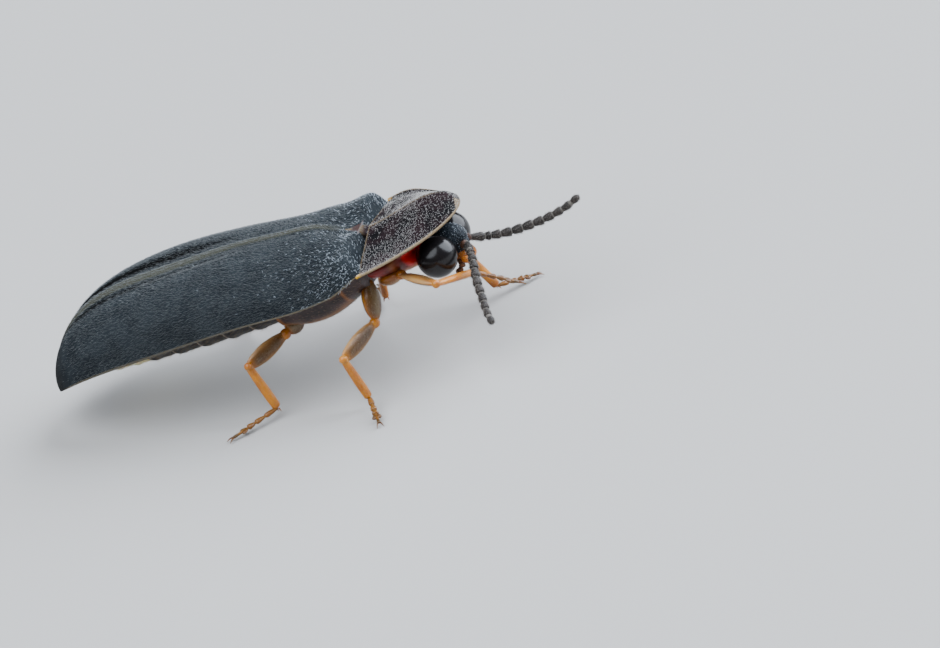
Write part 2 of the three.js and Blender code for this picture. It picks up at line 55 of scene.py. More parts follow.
# Stance, the same as the solids'
PITCH = math.radians(9)
HINGE_HEIGHT = 4.0
HEAD_YAW = math.radians(3)
NECK_PLACE = 0.9
EYE_CENTRE = (1.835, 0.74, -0.83)
EYE_RADIUS = 0.635

# Wing covers
ELYTRA_FRONT = 0.05
ELYTRA_LENGTH = 11.48
ELYTRA_HALF_WIDTH = 2.64
ELYTRA_SHOULDER_HALF_WIDTH = 2.5
ELYTRA_HEIGHT = 1.5
ELYTRA_HEIGHT_GAIN = 0.038
ELYTRA_EDGE = -0.2
ELYTRA_EDGE_DROOP = 1.0
ELYTRA_FRONT_WALL = 0.35
SHOULDER_EDGE_RISE = 0.25
SHOULDER_LENGTH = 1.7
SHOULDER_DROP = 0.36
FRONT_SLOPE_LENGTH = 6.5
FRONT_SLOPE_DROP = 0.09
SUTURE_DIP = 0.36
SUTURE_DIP_HALF_WIDTH = 0.8
REAR_SUTURE_DIP = 0.2
ELYTRA_THICKNESS = 0.13
ELYTRA_ROWS = 230
ELYTRA_COLUMNS = 96
RIBS = (0.3, 0.5, 0.7)
RIB_HALF_WIDTH = 0.04
RIB_HEIGHT = 0.01
FLANGE_WIDTH = 0.04
SUTURE_HALF_GAP = 0.003
SCUTELLUM_LENGTH = 0.8
SCUTELLUM_HALF_WIDTH = 0.24
SCUTELLUM_THICKNESS = 0.2

# Pronotum
PRONOTUM_REAR = -0.06
PRONOTUM_LENGTH = 2.92
PRONOTUM_HALF_WIDTH = 2.39
PRONOTUM_DOME = 0.75
PRONOTUM_EDGE_RISE = 0.11
PRONOTUM_LEFT_MARGIN_LIFT = 0.2
PRONOTUM_CORNER_SWEEP = 0.11
PRONOTUM_ROWS = 110
PRONOTUM_COLUMNS = 161

# Camera
LENS = 900.0
SENSOR = 36.0
IMAGE_WIDTH_MM = 28.14
VIEW_AZIMUTH = math.radians(20.71)
VIEW_ELEVATION = math.radians(25.07)
VIEW_ROLL = math.radians(18.89)
AIM_RIGHT = 2.754
AIM_DOWN = 2.551


# Numbers

def mix(a, b, t):
    return a + (b - a) * t


def smooth(t):
    t = np.clip(t, 0.0, 1.0)
    return t * t * (3 - 2 * t)


def bell(x, width):
    return np.exp(-(np.asarray(x) / width) ** 2)


def curve(pairs, t):
    """A smooth curve through (place, value) pairs, level at its two ends."""
    places = np.array([p[0] for p in pairs], float)
    values = np.array([p[1] for p in pairs], float)
    slopes = np.gradient(values, places, axis=0)
    slopes[0] = slopes[-1] = 0
    t = np.clip(np.asarray(t, float), places[0], places[-1])
    k = np.clip(np.searchsorted(places, t, side="right") - 1, 0, len(places) - 2)
    h = places[k + 1] - places[k]
    x = (t - places[k]) / h
    if values.ndim > 1:
        h, x = h[:, None], x[:, None]
    return (
        (2 * x**3 - 3 * x**2 + 1) * values[k]
        + (x**3 - 2 * x**2 + x) * h * slopes[k]
        + (3 * x**2 - 2 * x**3) * values[k + 1]
        + (x**3 - x**2) * h * slopes[k + 1]
    )


def unit(v):
    v = np.asarray(v, float)
    return v / np.maximum(np.linalg.norm(v, axis=-1, keepdims=True), 1e-12)


# Frames

def trunk_to_floor(p):
    p = np.asarray(p, float)
    c, s = math.cos(PITCH), math.sin(PITCH)
    b, l, n = p[..., 0], p[..., 1], p[..., 2]
    return np.stack([b * c - n * s, l, b * s + n * c + HINGE_HEIGHT], -1)


def turn_head(p):
    """Turns a place of the straight head a little to the animal's right."""
    p = np.asarray(p, float)
    c, s = math.cos(HEAD_YAW), math.sin(HEAD_YAW)
    b, l = p[..., 0] - NECK_PLACE, p[..., 1]
    return np.stack([NECK_PLACE + b * c + l * s, l * c - b * s, p[..., 2]], -1)


def node_centre(node):
    low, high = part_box(node)
    return (np.array(low) + np.array(high)) / 2


EYES_MIDDLE = (node_centre("eye_right") + node_centre("eye_left")) / 2
SHIFT = EYES_MIDDLE - trunk_to_floor(turn_head((EYE_CENTRE[0], 0, EYE_CENTRE[2]))) * MM
SHIFT[2] = 0


def floor_to_row(p):
    return np.asarray(p, float) * MM + SHIFT


def trunk_to_row(p):
    return floor_to_row(trunk_to_floor(p))


def head_to_row(p):
    return trunk_to_row(turn_head(p))


# Skins: closed surfaces made of grids of points, with three tones for each point

# The third tone is painted shade, darkening a point towards near black
TONES = ("tint", "pale", "painted_shade")
# In metres
WELD_DISTANCE = 2e-8


def per_point(tone, rows, columns):
    return np.broadcast_to(np.asarray(tone, float), (rows, columns)).reshape(-1)


class Skin:
    """Collects closed bodies for one object, and the patches on it that hair can grow from."""

    def __init__(self, to_row=trunk_to_row):
        self.to_row = to_row
        self.verts, self.faces, self.patches = [], [], []
        self.tones = {name: [] for name in TONES}
        self.count = 0

    def add(self, verts, faces, tint, pale, painted_shade=0.0):
        """Adds one closed body, with its faces turned outward."""
        verts = np.asarray(verts, float)
        tris = np.array([(f[0], f[i], f[i + 1]) for f in faces for i in range(1, len(f) - 1)])
        a, b, c = verts[tris[:, 0]], verts[tris[:, 1]], verts[tris[:, 2]]
        if np.einsum("ij,ij->i", a - verts[0], np.cross(b - verts[0], c - verts[0])).sum() < 0:
            faces = [tuple(reversed(f)) for f in faces]
        self.verts.append(self.to_row(verts))
        self.faces.extend(tuple(i + self.count for i in f) for f in faces)
        for name, values in zip(TONES, (tint, pale, painted_shade)):
            self.tones[name].append(np.broadcast_to(values, len(verts)))
        self.count += len(verts)

    def grid(self, points, tint=0.0, pale=0.0, hairy=True):
        """A tube of rings, closed round and with a fan on each end."""
        rows, columns = points.shape[:2]
        verts = list(points.reshape(-1, 3))
        faces = []
        for i in range(rows - 1):
            for j in range(columns):
                k = (j + 1) % columns
                faces.append((i * columns + j, i * columns + k, (i + 1) * columns + k, (i + 1) * columns + j))
        tint, pale = (per_point(tone, rows, columns) for tone in (tint, pale))
        for row, flip in ((0, True), (rows - 1, False)):
            hub = len(verts)
            verts.append(points[row].mean(0))
            tint = np.append(tint, tint[row * columns])
            pale = np.append(pale, pale[row * columns])
            for j in range(columns):
                a, b = row * columns + j, row * columns + (j + 1) % columns
                faces.append((hub, b, a) if flip else (hub, a, b))
        self.add(verts, faces, tint, pale)
        if hairy:
            self.patches.append(self.to_row(np.concatenate([points, points[:, :1]], 1)))

    def shell(self, top, under, tint=0.0, pale=0.0, painted_shade=0.0):
        """A closed plate between two grids that have the same rows and columns."""
        rows, columns = top.shape[:2]
        half = rows * columns
        verts = np.concatenate([top.reshape(-1, 3), under.reshape(-1, 3)])
        faces = []
        for i in range(rows - 1):
            for j in range(columns - 1):
                a, b = i * columns + j, (i + 1) * columns + j
                c, d = b + 1, a + 1
                faces.append((a, b, c, d))
                faces.append((half + d, half + c, half + b, half + a))
        rim = [(j, j + 1) for j in range(columns - 1)]
        rim += [(i * columns + columns - 1, (i + 1) * columns + columns - 1) for i in range(rows - 1)]
        rim += [((rows - 1) * columns + j + 1, (rows - 1) * columns + j) for j in range(columns - 1)]
        rim += [((i + 1) * columns, i * columns) for i in range(rows - 1)]
        faces += [(a, b, half + b, half + a) for a, b in rim]
        self.add(verts, faces, *(np.tile(per_point(tone, rows, columns), 2) for tone in (tint, pale, painted_shade)))
        self.patches.append(self.to_row(top))

    def build(self, name, material, nodes):
        mesh = bpy.data.meshes.new(name)
        mesh.from_pydata(np.concatenate(self.verts).tolist(), [], self.faces)
        for attribute, values in self.tones.items():
            layer = mesh.attributes.new(attribute, "FLOAT", "POINT")
            layer.data.foreach_set("value", np.concatenate(values).astype(np.float32))
        piece = finish_mesh(name, mesh, material)
        weld_points(piece)
        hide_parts(*nodes)


def finish_mesh(name, mesh, material):
    mesh.update()
    mesh.polygons.foreach_set("use_smooth", np.ones(len(mesh.polygons), bool))
    mesh.materials.append(material)
    piece = bpy.data.objects.new(name, mesh)
    bpy.context.collection.objects.link(piece)
    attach(piece, "root")
    return piece


def weld_points(piece):
    """Joins points that fall together, such as those at the rear of a wing cover."""
    work = bmesh.new()
    work.from_mesh(piece.data)
    bmesh.ops.remove_doubles(work, verts=work.verts, dist=WELD_DISTANCE)
    bmesh.ops.dissolve_degenerate(work, edges=work.edges, dist=WELD_DISTANCE)
    work.to_mesh(piece.data)
    work.free()


# Tubes

LOBE_POLE_TURN = 0.02
BALL_POLE_TURN = 0.04


def tube(path, radii, side=(0, 1, 0), flat=1.0, sides=20):
    """Rings along a path. side is the direction that flat squeezes."""
    path = np.asarray(path, float)
    tangent = unit(np.gradient(path, axis=0))
    side = np.broadcast_to(np.asarray(side, float), path.shape)
    across = unit(side - (side * tangent).sum(-1, keepdims=True) * tangent)
    over = np.cross(tangent, across)
    angle = np.linspace(0, 2 * np.pi, sides, endpoint=False)
    radii = np.asarray(radii, float)[:, None, None]
    cosine, sine = np.cos(angle)[None, :, None], np.sin(angle)[None, :, None]
    return path[:, None] + radii * (cosine * over[:, None] + flat * sine * across[:, None])


def lobe(start, end, profile, side=(0, 1, 0), flat=1.0, sides=20, rings=26, bend=(0, 0, 0), cap=1.0):
    """A closed round-ended piece from start to end, whose radius follows profile, a list of (share, radius).

    cap is the length of its rounded ends, in end radii.
    """
    t = (1 - np.cos(np.linspace(LOBE_POLE_TURN, np.pi - LOBE_POLE_TURN, rings))) / 2
    start, end, bend = (np.asarray(p, float) for p in (start, end, bend))
    length = np.linalg.norm(end - start)
    radius = curve(profile, t)
    for place in (t, 1 - t):
        reach = profile[0][1] if place is t else profile[-1][1]
        share = np.clip(place * length / max(reach * cap, 1e-6), 0, 1)
        radius = radius * np.sqrt(1 - (1 - share) ** 2)
    path = start + (end - start) * t[:, None] + bend * (4 * t * (1 - t))[:, None]
    return tube(path, radius, side, flat, sides)


def ball(centre, radii, sides=28, rings=22, axis=0):
    """An ellipsoid as rings along axis 0 or 1."""
    turn = np.linspace(BALL_POLE_TURN, np.pi - BALL_POLE_TURN, rings)
    angle = np.linspace(0, 2 * np.pi, sides, endpoint=False)
    along = -np.cos(turn)[:, None] * np.ones(sides)
    one = np.sin(turn)[:, None] * np.cos(angle)
    two = np.sin(turn)[:, None] * np.sin(angle)
    order = [along, one, two] if axis == 0 else [two, along, one]
    return np.stack(order, -1) * np.asarray(radii, float) + np.asarray(centre, float)


def rounded_ring(b, half_top, half_bottom, top, bottom, squareness, sides):
    """One cross-section of the trunk, whose width may differ above and below."""
    angle = np.linspace(0, 2 * np.pi, sides, endpoint=False)
    power = 2 / squareness
    x = np.sign(np.cos(angle)) * np.abs(np.cos(angle)) ** power
    y = np.sign(np.sin(angle)) * np.abs(np.sin(angle)) ** power
    width = mix(half_bottom, half_top, (y + 1) / 2)
    return np.stack([np.full(sides, float(b)), x * width, mix(bottom, top, (y + 1) / 2)], -1)


# Hair: thin bent spikes, each with its own small place on the unwrap

HAIR_TRIES = 2.5
HAIR_CELL = 0.9
HAIR_SINK = 0.15
HAIR_MIDDLE_RISE = 0.62
HAIR_TIP_RISE = 0.8
HAIR_MIDDLE_WIDTH = 0.7
UNWRAP_SPOT = 0.0015
UNWRAP_MARGIN = 0.04
UNWRAP_SPAN = 0.92


def hair(name, patches, material, *, per_mm2, length, width, lift, seed, spread=0.3, keep=None):
    """Covers patches with hairs that lie along their rows.

    length and width are in millimetres, lift is the share of its length that a hair rises, spread is how far
    hairs turn aside, and keep picks the places where hair grows.
    """
    rng = np.random.default_rng(seed)
    roots, normals, lies, spots = [], [], [], []
    shelf = int(math.ceil(math.sqrt(len(patches))))
    for index, patch in enumerate(patches):
        p00, p10 = patch[:-1, :-1], patch[1:, :-1]
        p01, p11 = patch[:-1, 1:], patch[1:, 1:]
        normal = np.cross(p11 - p00, p01 - p10)
        area = np.linalg.norm(normal, axis=-1) / 2
        total = area.sum() / MM**2
        count = int(total * per_mm2 * HAIR_TRIES)
        if count < 1:
            continue
        pick = rng.choice(area.size, count, p=(area / area.sum()).reshape(-1))
        i, j = np.unravel_index(pick, area.shape)
        u, v = rng.random((2, count))
        low, high = (mix(a[i, j], b[i, j], u[:, None]) for a, b in ((p00, p10), (p01, p11)))
        point = mix(low, high, v[:, None])
        place = np.stack([(i + u) / area.shape[0], (j + v) / area.shape[1]], -1)
        cell = np.floor(point / (MM / math.sqrt(per_mm2) * HAIR_CELL)).astype(int)
        _, first = np.unique(cell, axis=0, return_index=True)
        if keep is not None:
            first = first[keep(place[first], rng)]
        roots.append(point[first])
        normals.append(unit(normal[i, j][first]))
        lies.append(unit((p10 - p00 + p11 - p01)[i, j][first]))
        corner = np.array([index // shelf, index % shelf])
        spots.append((corner + UNWRAP_MARGIN + place[first] * UNWRAP_SPAN) / shelf)
    root, normal, lie, spot = (np.concatenate(x) for x in (roots, normals, lies, spots))
    outward = np.sign((normal * (root - root.mean(0))).sum(-1).sum()) if len(patches) == 1 else 1
    normal = normal * outward
    side = unit(np.cross(normal, lie))
    lie = unit(lie + side * rng.normal(0, spread, (len(root), 1)))
    side = np.cross(normal, lie)
    scale = length * MM * rng.uniform(0.75, 1.2, (len(root), 1))
    thick = width * MM * rng.uniform(0.8, 1.15, (len(root), 1))
    rise = lift * rng.uniform(0.6, 1.4, (len(root), 1))
    middle = root + lie * scale * 0.5 + normal * scale * rise * HAIR_MIDDLE_RISE
    tip = root + lie * scale + normal * scale * rise * HAIR_TIP_RISE
    base = root - normal * thick * HAIR_SINK
    verts = []
    for centre, share in ((base, 1.0), (middle, HAIR_MIDDLE_WIDTH)):
        for turn in (90, 210, 330):
            c, s = math.cos(math.radians(turn)), math.sin(math.radians(turn))
            verts.append(centre + (side * c + normal * s) * thick * share / 2)
    verts.append(tip)
    points = np.stack(verts, 1).reshape(-1, 3)
    tris = [(0, 2, 1), (3, 4, 6), (4, 5, 6), (5, 3, 6)]
    for a, b in ((0, 1), (1, 2), (2, 0)):
        tris += [(a, b, b + 3), (a, b + 3, a + 3)]
    faces = (np.arange(len(root))[:, None, None] * 7 + np.array(tris)[None]).reshape(-1, 3)
    mesh = bpy.data.meshes.new(name)
    mesh.from_pydata(points.tolist(), [], faces.tolist())
    offsets = UNWRAP_SPOT * np.array([(-1, -1), (1, -1), (0, -1), (-1, 0), (1, 0), (0, 0.2), (0, 1)])
    corners = (spot[:, None] + offsets[None]).reshape(-1, 2)[faces.reshape(-1)]
    layer = mesh.uv_layers.new(name="OFBake")
    layer.data.foreach_set("uv", corners.astype(np.float32).reshape(-1))
    return finish_mesh(name, mesh, material)


# Materials

# Near black, painted where shade falls: in the furrow beside the suture and over the tail end of the wing
# covers
PAINTED_SHADE = (0.003, 0.003, 0.003)
COAT_ROUGHNESS = 0.12
GLOW_RADIUS = (0.3, 0.12, 0.05)
HAIR_ROUGHNESS = 0.35
# Places of the colour sockets on a Mix node
MIX_A, MIX_B, MIX_RESULT = 6, 7, 2


class Shader:
    """A material's node tree, with coordinates in millimetres."""

    def __init__(self, name):
        self.material = bpy.data.materials.new(name)
        self.material.use_nodes = True
        self.tree = self.material.node_tree
        self.surface = self.tree.nodes["Principled BSDF"]
        place = self.tree.nodes.new("ShaderNodeTexCoord")
        scale = self.tree.nodes.new("ShaderNodeMapping")
        scale.inputs["Scale"].default_value = (1 / MM,) * 3
        self.link(place.outputs["Object"], scale.inputs["Vector"])
        self.place = scale.outputs["Vector"]

    def link(self, a, b):
        self.tree.links.new(a, b)

    def set(self, **values):
        for name, value in values.items():
            self.surface.inputs[name.replace("_", " ")].default_value = value

    def noise(self, per_mm, detail=4.0):
        node = self.tree.nodes.new("ShaderNodeTexNoise")
        node.inputs["Scale"].default_value = per_mm
        node.inputs["Detail"].default_value = detail
        self.link(self.place, node.inputs["Vector"])
        return node.outputs["Fac"]

    def cells(self, per_mm):
        node = self.tree.nodes.new("ShaderNodeTexVoronoi")
        node.inputs["Scale"].default_value = per_mm
        self.link(self.place, node.inputs["Vector"])
        return node.outputs["Distance"]

    def ramp(self, value, low, high, to_low=0.0, to_high=1.0):
        node = self.tree.nodes.new("ShaderNodeMapRange")
        node.interpolation_type = "SMOOTHSTEP"
        ends = {"From Min": low, "From Max": high, "To Min": to_low, "To Max": to_high}
        for key, number in ends.items():
            node.inputs[key].default_value = number
        self.link(value, node.inputs["Value"])
        return node.outputs["Result"]

    def attribute(self, name):
        node = self.tree.nodes.new("ShaderNodeAttribute")
        node.attribute_name = name
        return node.outputs["Fac"]

    def blend(self, factor, a, b):
        node = self.tree.nodes.new("ShaderNodeMix")
        node.data_type = "RGBA"
        self.link(factor, node.inputs["Factor"])
        for socket, colour in ((node.inputs[MIX_A], a), (node.inputs[MIX_B], b)):
            if isinstance(colour, tuple):
                socket.default_value = (*colour, 1.0)
            else:
                self.link(colour, socket)
        return node.outputs[MIX_RESULT]

    def colour(self, socket):
        self.link(socket, self.surface.inputs["Base Color"])

    def rough(self, value, low, high):
        self.link(self.ramp(value, 0.3, 0.7, low, high), self.surface.inputs["Roughness"])

    def bump(self, *layers):
        """Stacks (height, depth in millimetres) layers."""
        last = None
        for height, depth in layers:
            node = self.tree.nodes.new("ShaderNodeBump")
            node.inputs["Strength"].default_value = 1.0
            node.inputs["Distance"].default_value = depth * MM
            self.link(height, node.inputs["Height"])
            if last is not None:
                self.link(last, node.inputs["Normal"])
            last = node.outputs["Normal"]
        self.link(last, self.surface.inputs["Normal"])


def cuticle(
    name, deep, light, tint, pale, *, roughness, grain, relief, pits=None, glow=0.0, coat=0.0, shine=0.5
):
    """Insect cuticle, mottled from deep to light.

    The mesh's three tones lead from there to tint, pale and a near-black painted shade.
    grain and pits are per millimetre, and relief is in millimetres.
    """
    shader = Shader(name)
    mottle = shader.ramp(shader.noise(1.6, 5.0), 0.35, 0.65)
    base = shader.blend(mottle, deep, light)
    fine = shader.noise(grain, 3.0)
    tinted = shader.blend(shader.attribute("tint"), base, tint)
    toned = shader.blend(shader.attribute("pale"), tinted, pale)
    shader.colour(shader.blend(shader.attribute("painted_shade"), toned, PAINTED_SHADE))
    shader.rough(fine, *roughness)
    layers = [(shader.cells(grain * 0.8), relief), (fine, relief)]
    if pits:
        layers.append((shader.ramp(shader.cells(pits), 0.0, 0.45), relief * 2.5))
    shader.bump(*layers)
    shader.set(Specular_IOR_Level=shine, Coat_Weight=coat, Coat_Roughness=COAT_ROUGHNESS)
    radius = tuple(r * MM for r in GLOW_RADIUS)
    shader.set(Subsurface_Weight=glow, Subsurface_Radius=radius, Subsurface_Scale=1.0)
    return shader.material


def hair_material(name, colour, tip):
    shader = Shader(name)
    shader.colour(shader.blend(shader.noise(9.0, 2.0), colour, tip))
    shader.set(Roughness=HAIR_ROUGHNESS, Specular_IOR_Level=0.3)
    return shader.material


def eye_material():
    shader = Shader("eye_black")
    shader.colour(shader.blend(shader.noise(3.0), (0.004, 0.004, 0.005), (0.012, 0.010, 0.010)))
    shader.bump((shader.cells(26.0), 0.0012))
    shader.set(Roughness=0.2, Specular_IOR_Level=0.28)
    return shader.material


WING = cuticle(
    "wing_cover_cuticle",
    deep=(0.012, 0.015, 0.018), light=(0.021, 0.026, 0.030),
    tint=(0.15, 0.125, 0.085), pale=(0.055, 0.055, 0.042),
    roughness=(0.5, 0.7), grain=30.0, relief=0.007, shine=0.02,
)
SHIELD = cuticle(
    "shield_cuticle",
    deep=(0.004, 0.004, 0.005), light=(0.018, 0.010, 0.012),
    tint=(0.26, 0.195, 0.12), pale=(0.60, 0.33, 0.03),
    roughness=(0.45, 0.65), grain=20.0, relief=0.012, pits=18.0, shine=0.05,
)
HEAD_SHELL = cuticle(
    "head_cuticle",
    deep=(0.006, 0.008, 0.011), light=(0.014, 0.020, 0.027),
    tint=(0.48, 0.15, 0.02), pale=(0.50, 0.38, 0.25),
    roughness=(0.3, 0.5), grain=20.0, relief=0.016, pits=13.0, shine=0.13,
)
FEELER = cuticle(
    "feeler_cuticle",
    deep=(0.010, 0.008, 0.007), light=(0.024, 0.018, 0.015),
    tint=(0.10, 0.06, 0.04), pale=(0.36, 0.33, 0.29),
    roughness=(0.45, 0.6), grain=40.0, relief=0.004, shine=0.3,
)
RED_SIDE = cuticle(
    "prothorax_cuticle",
    deep=(0.07, 0.003, 0.003), light=(0.15, 0.006, 0.004),
    tint=(0.26, 0.075, 0.014), pale=(0.62, 0.008, 0.005),
    roughness=(0.3, 0.45), grain=16.0, relief=0.005, glow=0.1, shine=0.3,
)
BROWN_PLATE = cuticle(
    "thorax_cuticle",
    deep=(0.018, 0.010, 0.010), light=(0.045, 0.024, 0.022),
    tint=(0.20, 0.075, 0.02), pale=(0.30, 0.22, 0.15),
    roughness=(0.35, 0.5), grain=20.0, relief=0.006, glow=0.1, shine=0.35,
)
BELLY = cuticle(
    "abdomen_cuticle",
    deep=(0.012, 0.009, 0.007), light=(0.028, 0.020, 0.015),
    tint=(0.26, 0.15, 0.08), pale=(0.35, 0.27, 0.19),
    roughness=(0.35, 0.5), grain=18.0, relief=0.006, glow=0.1, shine=0.35,
)
LANTERN = cuticle(
    "light_organ_cuticle",
    deep=(0.60, 0.52, 0.24), light=(0.74, 0.68, 0.40),
    tint=(0.42, 0.30, 0.12), pale=(0.82, 0.80, 0.62),
    roughness=(0.3, 0.45), grain=14.0, relief=0.004, glow=0.6, coat=0.2,
)
AMBER = cuticle(
    "leg_cuticle",
    deep=(0.28, 0.080, 0.003), light=(0.50, 0.18, 0.006),
    tint=(0.062, 0.034, 0.012), pale=(0.44, 0.32, 0.16),
    roughness=(0.25, 0.42), grain=26.0, relief=0.003, glow=0.3, coat=0.1, shine=0.4,
)
EYE_BLACK = eye_material()
SILVER = hair_material("silver_hair", (0.073, 0.080, 0.084), (0.205, 0.218, 0.222))
BRIGHT = hair_material("bright_hair", (0.16, 0.155, 0.16), (0.66, 0.64, 0.61))
FROSTED = hair_material("frosted_hair", (0.17, 0.20, 0.23), (0.56, 0.62, 0.68))
GREY_HAIR = hair_material("grey_hair", (0.07, 0.06, 0.05), (0.28, 0.25, 0.22))
GOLDEN = hair_material("golden_hair", (0.22, 0.15, 0.07), (0.40, 0.31, 0.19))


# Wing covers

def elytra_reach(b):
    return np.clip(np.abs(b) / ELYTRA_LENGTH, 0, 1)


def elytra_half_width(b):
    full = mix(ELYTRA_SHOULDER_HALF_WIDTH, ELYTRA_HALF_WIDTH, smooth((np.abs(b) - 1) / 7))
    return full * np.sqrt(1 - elytra_reach(b) ** 5.5)


def elytra_edge(b):
    place = np.abs(b)
    shoulder = SHOULDER_EDGE_RISE * (1 - smooth(place / 1.3)) - 0.15 * bell(place - 2.3, 1.5)
    return ELYTRA_EDGE + shoulder - ELYTRA_EDGE_DROOP * elytra_reach(b) ** 8


def elytra_rise(b):
    place = np.abs(b)
    full = ELYTRA_HEIGHT + ELYTRA_HEIGHT_GAIN * place
    slope = FRONT_SLOPE_DROP * (1 - smooth(place / FRONT_SLOPE_LENGTH))
    shoulder = SHOULDER_DROP * (1 - smooth(place / SHOULDER_LENGTH))
    return full * (1 - slope - shoulder) * np.sqrt(1 - elytra_reach(b) ** 5)


def front_wall(b):
    """How far a wing cover has risen behind its front edge, which tucks in under the shield."""
    return smooth((np.abs(b) - ELYTRA_FRONT) / ELYTRA_FRONT_WALL)


def suture_dip(b, l):
    front = SUTURE_DIP * (1 - smooth((np.abs(b) - 0.3) / 2))
    return (front + REAR_SUTURE_DIP * bell(np.abs(b) - 6.4, 2.5)) * bell(l, SUTURE_DIP_HALF_WIDTH)


def elytron_relief(b, v, share):
    """Ribs, the bead and furrow beside the suture, and the shoulder's swelling between two hollows."""
    ribs = sum(bell(v - place, RIB_HALF_WIDTH) for place in RIBS) * RIB_HEIGHT
    bead = bell(v - 0.012, 0.016) * 0.045 - bell(v - 0.06, 0.03) * 0.025
    bead = bead - 0.06 * bell(v - 0.115, 0.035) * smooth((share - 0.25) / 0.25)
    shoulder = 0.05 * bell(v - 0.6, 0.14) * bell(np.abs(b) - 0.7, 0.4)
    hollow = -0.04 * bell(v - 0.4, 0.07) * bell(np.abs(b) - 0.9, 0.6)
    hollow = hollow - 0.05 * bell(v - 0.8, 0.05) * bell(np.abs(b) - 1.1, 0.9)
    return (ribs + bead) * end_fade(share) + shoulder + hollow


def end_fade(share):
    return np.sin(np.pi * np.clip(share * 1.02, 0, 1)) ** 0.6


def elytron_surface(side, inset=0.0):
    """One face of a wing cover: the upper one, or with an inset the lower one."""
    u = np.linspace(0, 1, ELYTRA_ROWS)[:, None]
    v = np.linspace(0, 1, ELYTRA_COLUMNS)[None, :]
    share = np.sin(u * np.pi / 2) ** 2
    b = -mix(ELYTRA_FRONT, ELYTRA_LENGTH, share)
    reach = elytra_half_width(b) * mix(0.86, 1.0, smooth((np.abs(b) - ELYTRA_FRONT) / 0.6) ** 0.5)
    squareness = mix(2.7, 2.05, smooth(np.abs(b) / 1.6))
    power = 2 / mix(squareness, 2.3, smooth((np.abs(b) - 4) / 3))
    angle = v * np.pi / 2
    notch = np.clip((np.abs(b) - ELYTRA_FRONT) / SCUTELLUM_LENGTH, 0, 1)
    start = SUTURE_HALF_GAP + SCUTELLUM_HALF_WIDTH * (1 - notch**1.7)
    l = start + np.maximum(reach * (1 - inset / ELYTRA_HALF_WIDTH) - start, 0) * np.sin(angle) ** power
    relief = elytron_relief(b, v, share) * (inset == 0)
    rise = (elytra_rise(b) * (1 - inset / 1.7) + relief) * mix(0.06, 1.0, front_wall(b))
    n = elytra_edge(b) + rise * np.cos(angle) ** power - suture_dip(b, l)
    flange = smooth((v - 0.95) / 0.05) * FLANGE_WIDTH * end_fade(share) * (inset == 0)
    pulled = b + inset * share**4
    return np.stack(np.broadcast_arrays(pulled, side * (l + flange), n), -1), share, v


def wing_thinning(place, rng):
    """Fine hair thins out at the shoulder, in the furrow beside the suture and towards the tail."""
    along, across = place[:, 0], place[:, 1]
    furrow = bell(across - 0.13, 0.065) * smooth((along - 0.4) / 0.3)
    tail = 0.35 * smooth((along - 0.5) / 0.35) + 0.65 * smooth((along - 0.72) / 0.12)
    front = 0.8 * bell(along, 0.22) * mix(0.6, 1.0, smooth((across - 0.3) / 0.25))
    wall = 0.9 * (1 - smooth((along - 0.07) / 0.06))
    bare = np.maximum(np.maximum(furrow, tail), np.maximum(front, wall))
    return rng.random(len(place)) < 1 - bare


def shoulder_glint_hair(place, rng):
    """Coarse bright hair grows on the shoulder alone, and less of it beside the suture: real hair, and partly
    a painted highlight where the light catches the shoulder.
    """
    along, across = place[:, 0], place[:, 1]
    near_front = bell(along, 0.21) ** 1.5 * mix(0.45, 1.0, smooth((along - 0.07) / 0.06))
    return rng.random(len(place)) < near_front * mix(0.3, 1.0, smooth((across - 0.3) / 0.25))


def elytron(name, side):
    skin = Skin()
    top, share, v = elytron_surface(side)
    under, _, _ = elytron_surface(side, inset=ELYTRA_THICKNESS)
    tint = smooth((v - 0.98) / 0.01) * mix(1.0, 0.6, smooth((share - 0.2) / 0.3))
    pale = smooth((0.032 + 0.038 * share - v) / 0.02) * smooth((share - 0.05) / 0.1)
    # Painted shade, near black: in the furrow beside the suture and over the last tenth of the wing cover,
    # where the light does not reach
    painted_shade = np.maximum(bell(v - 0.13, 0.06) * smooth((share - 0.25) / 0.3), smooth((share - 0.9) / 0.08))
    skin.shell(top, under, tint, pale, painted_shade)
    skin.build(f"elytron_{name}", WING, [f"elytron_{name}"])
    hair(
        f"wing_hair_{name}", skin.patches, SILVER,
        per_mm2=300, length=0.11, width=0.0075, lift=0.25, seed=11 + side, keep=wing_thinning,
    )
    # Bright hair on the shoulder: real hair, and partly a painted highlight of the light falling on the
    # shoulder
    hair(
        f"wing_shoulder_glint_hair_{name}", skin.patches, FROSTED,
        per_mm2=300, length=0.08, width=0.0175, lift=0.4, seed=17 + side, spread=1.1, keep=shoulder_glint_hair,
    )


def scutellum():
    skin = Skin()
    rows, columns = 30, 25
    share = np.linspace(0, 1, rows)[:, None]
    across = np.linspace(-1, 1, columns)[None, :]
    half = SCUTELLUM_HALF_WIDTH * (1 - share**1.7) + 0.03
    b = np.broadcast_to(-ELYTRA_FRONT + 0.06 - (SCUTELLUM_LENGTH + 0.02) * share, (rows, columns))
    inside = np.minimum(b, -ELYTRA_FRONT - 0.4)
    n = elytra_edge(inside) + elytra_rise(inside) - suture_dip(inside, 0)
    n = n + 0.02 * (1 - across**2) - 0.03 * across**2 - 0.14 * (1 - smooth(share / 0.45))
    top = np.stack(np.broadcast_arrays(b, half * across, n), -1)
    under = top - np.array([0, 0, SCUTELLUM_THICKNESS])
    skin.shell(top, under, tint=0.62 * smooth((share - 0.2) / 0.3))
    skin.build("scutellum", SHIELD, ["scutellum"])
    hair(
        "scutellum_hair", skin.patches, SILVER,
        per_mm2=120, length=0.1, width=0.009, lift=0.3, seed=5,
    )


# Pronotum

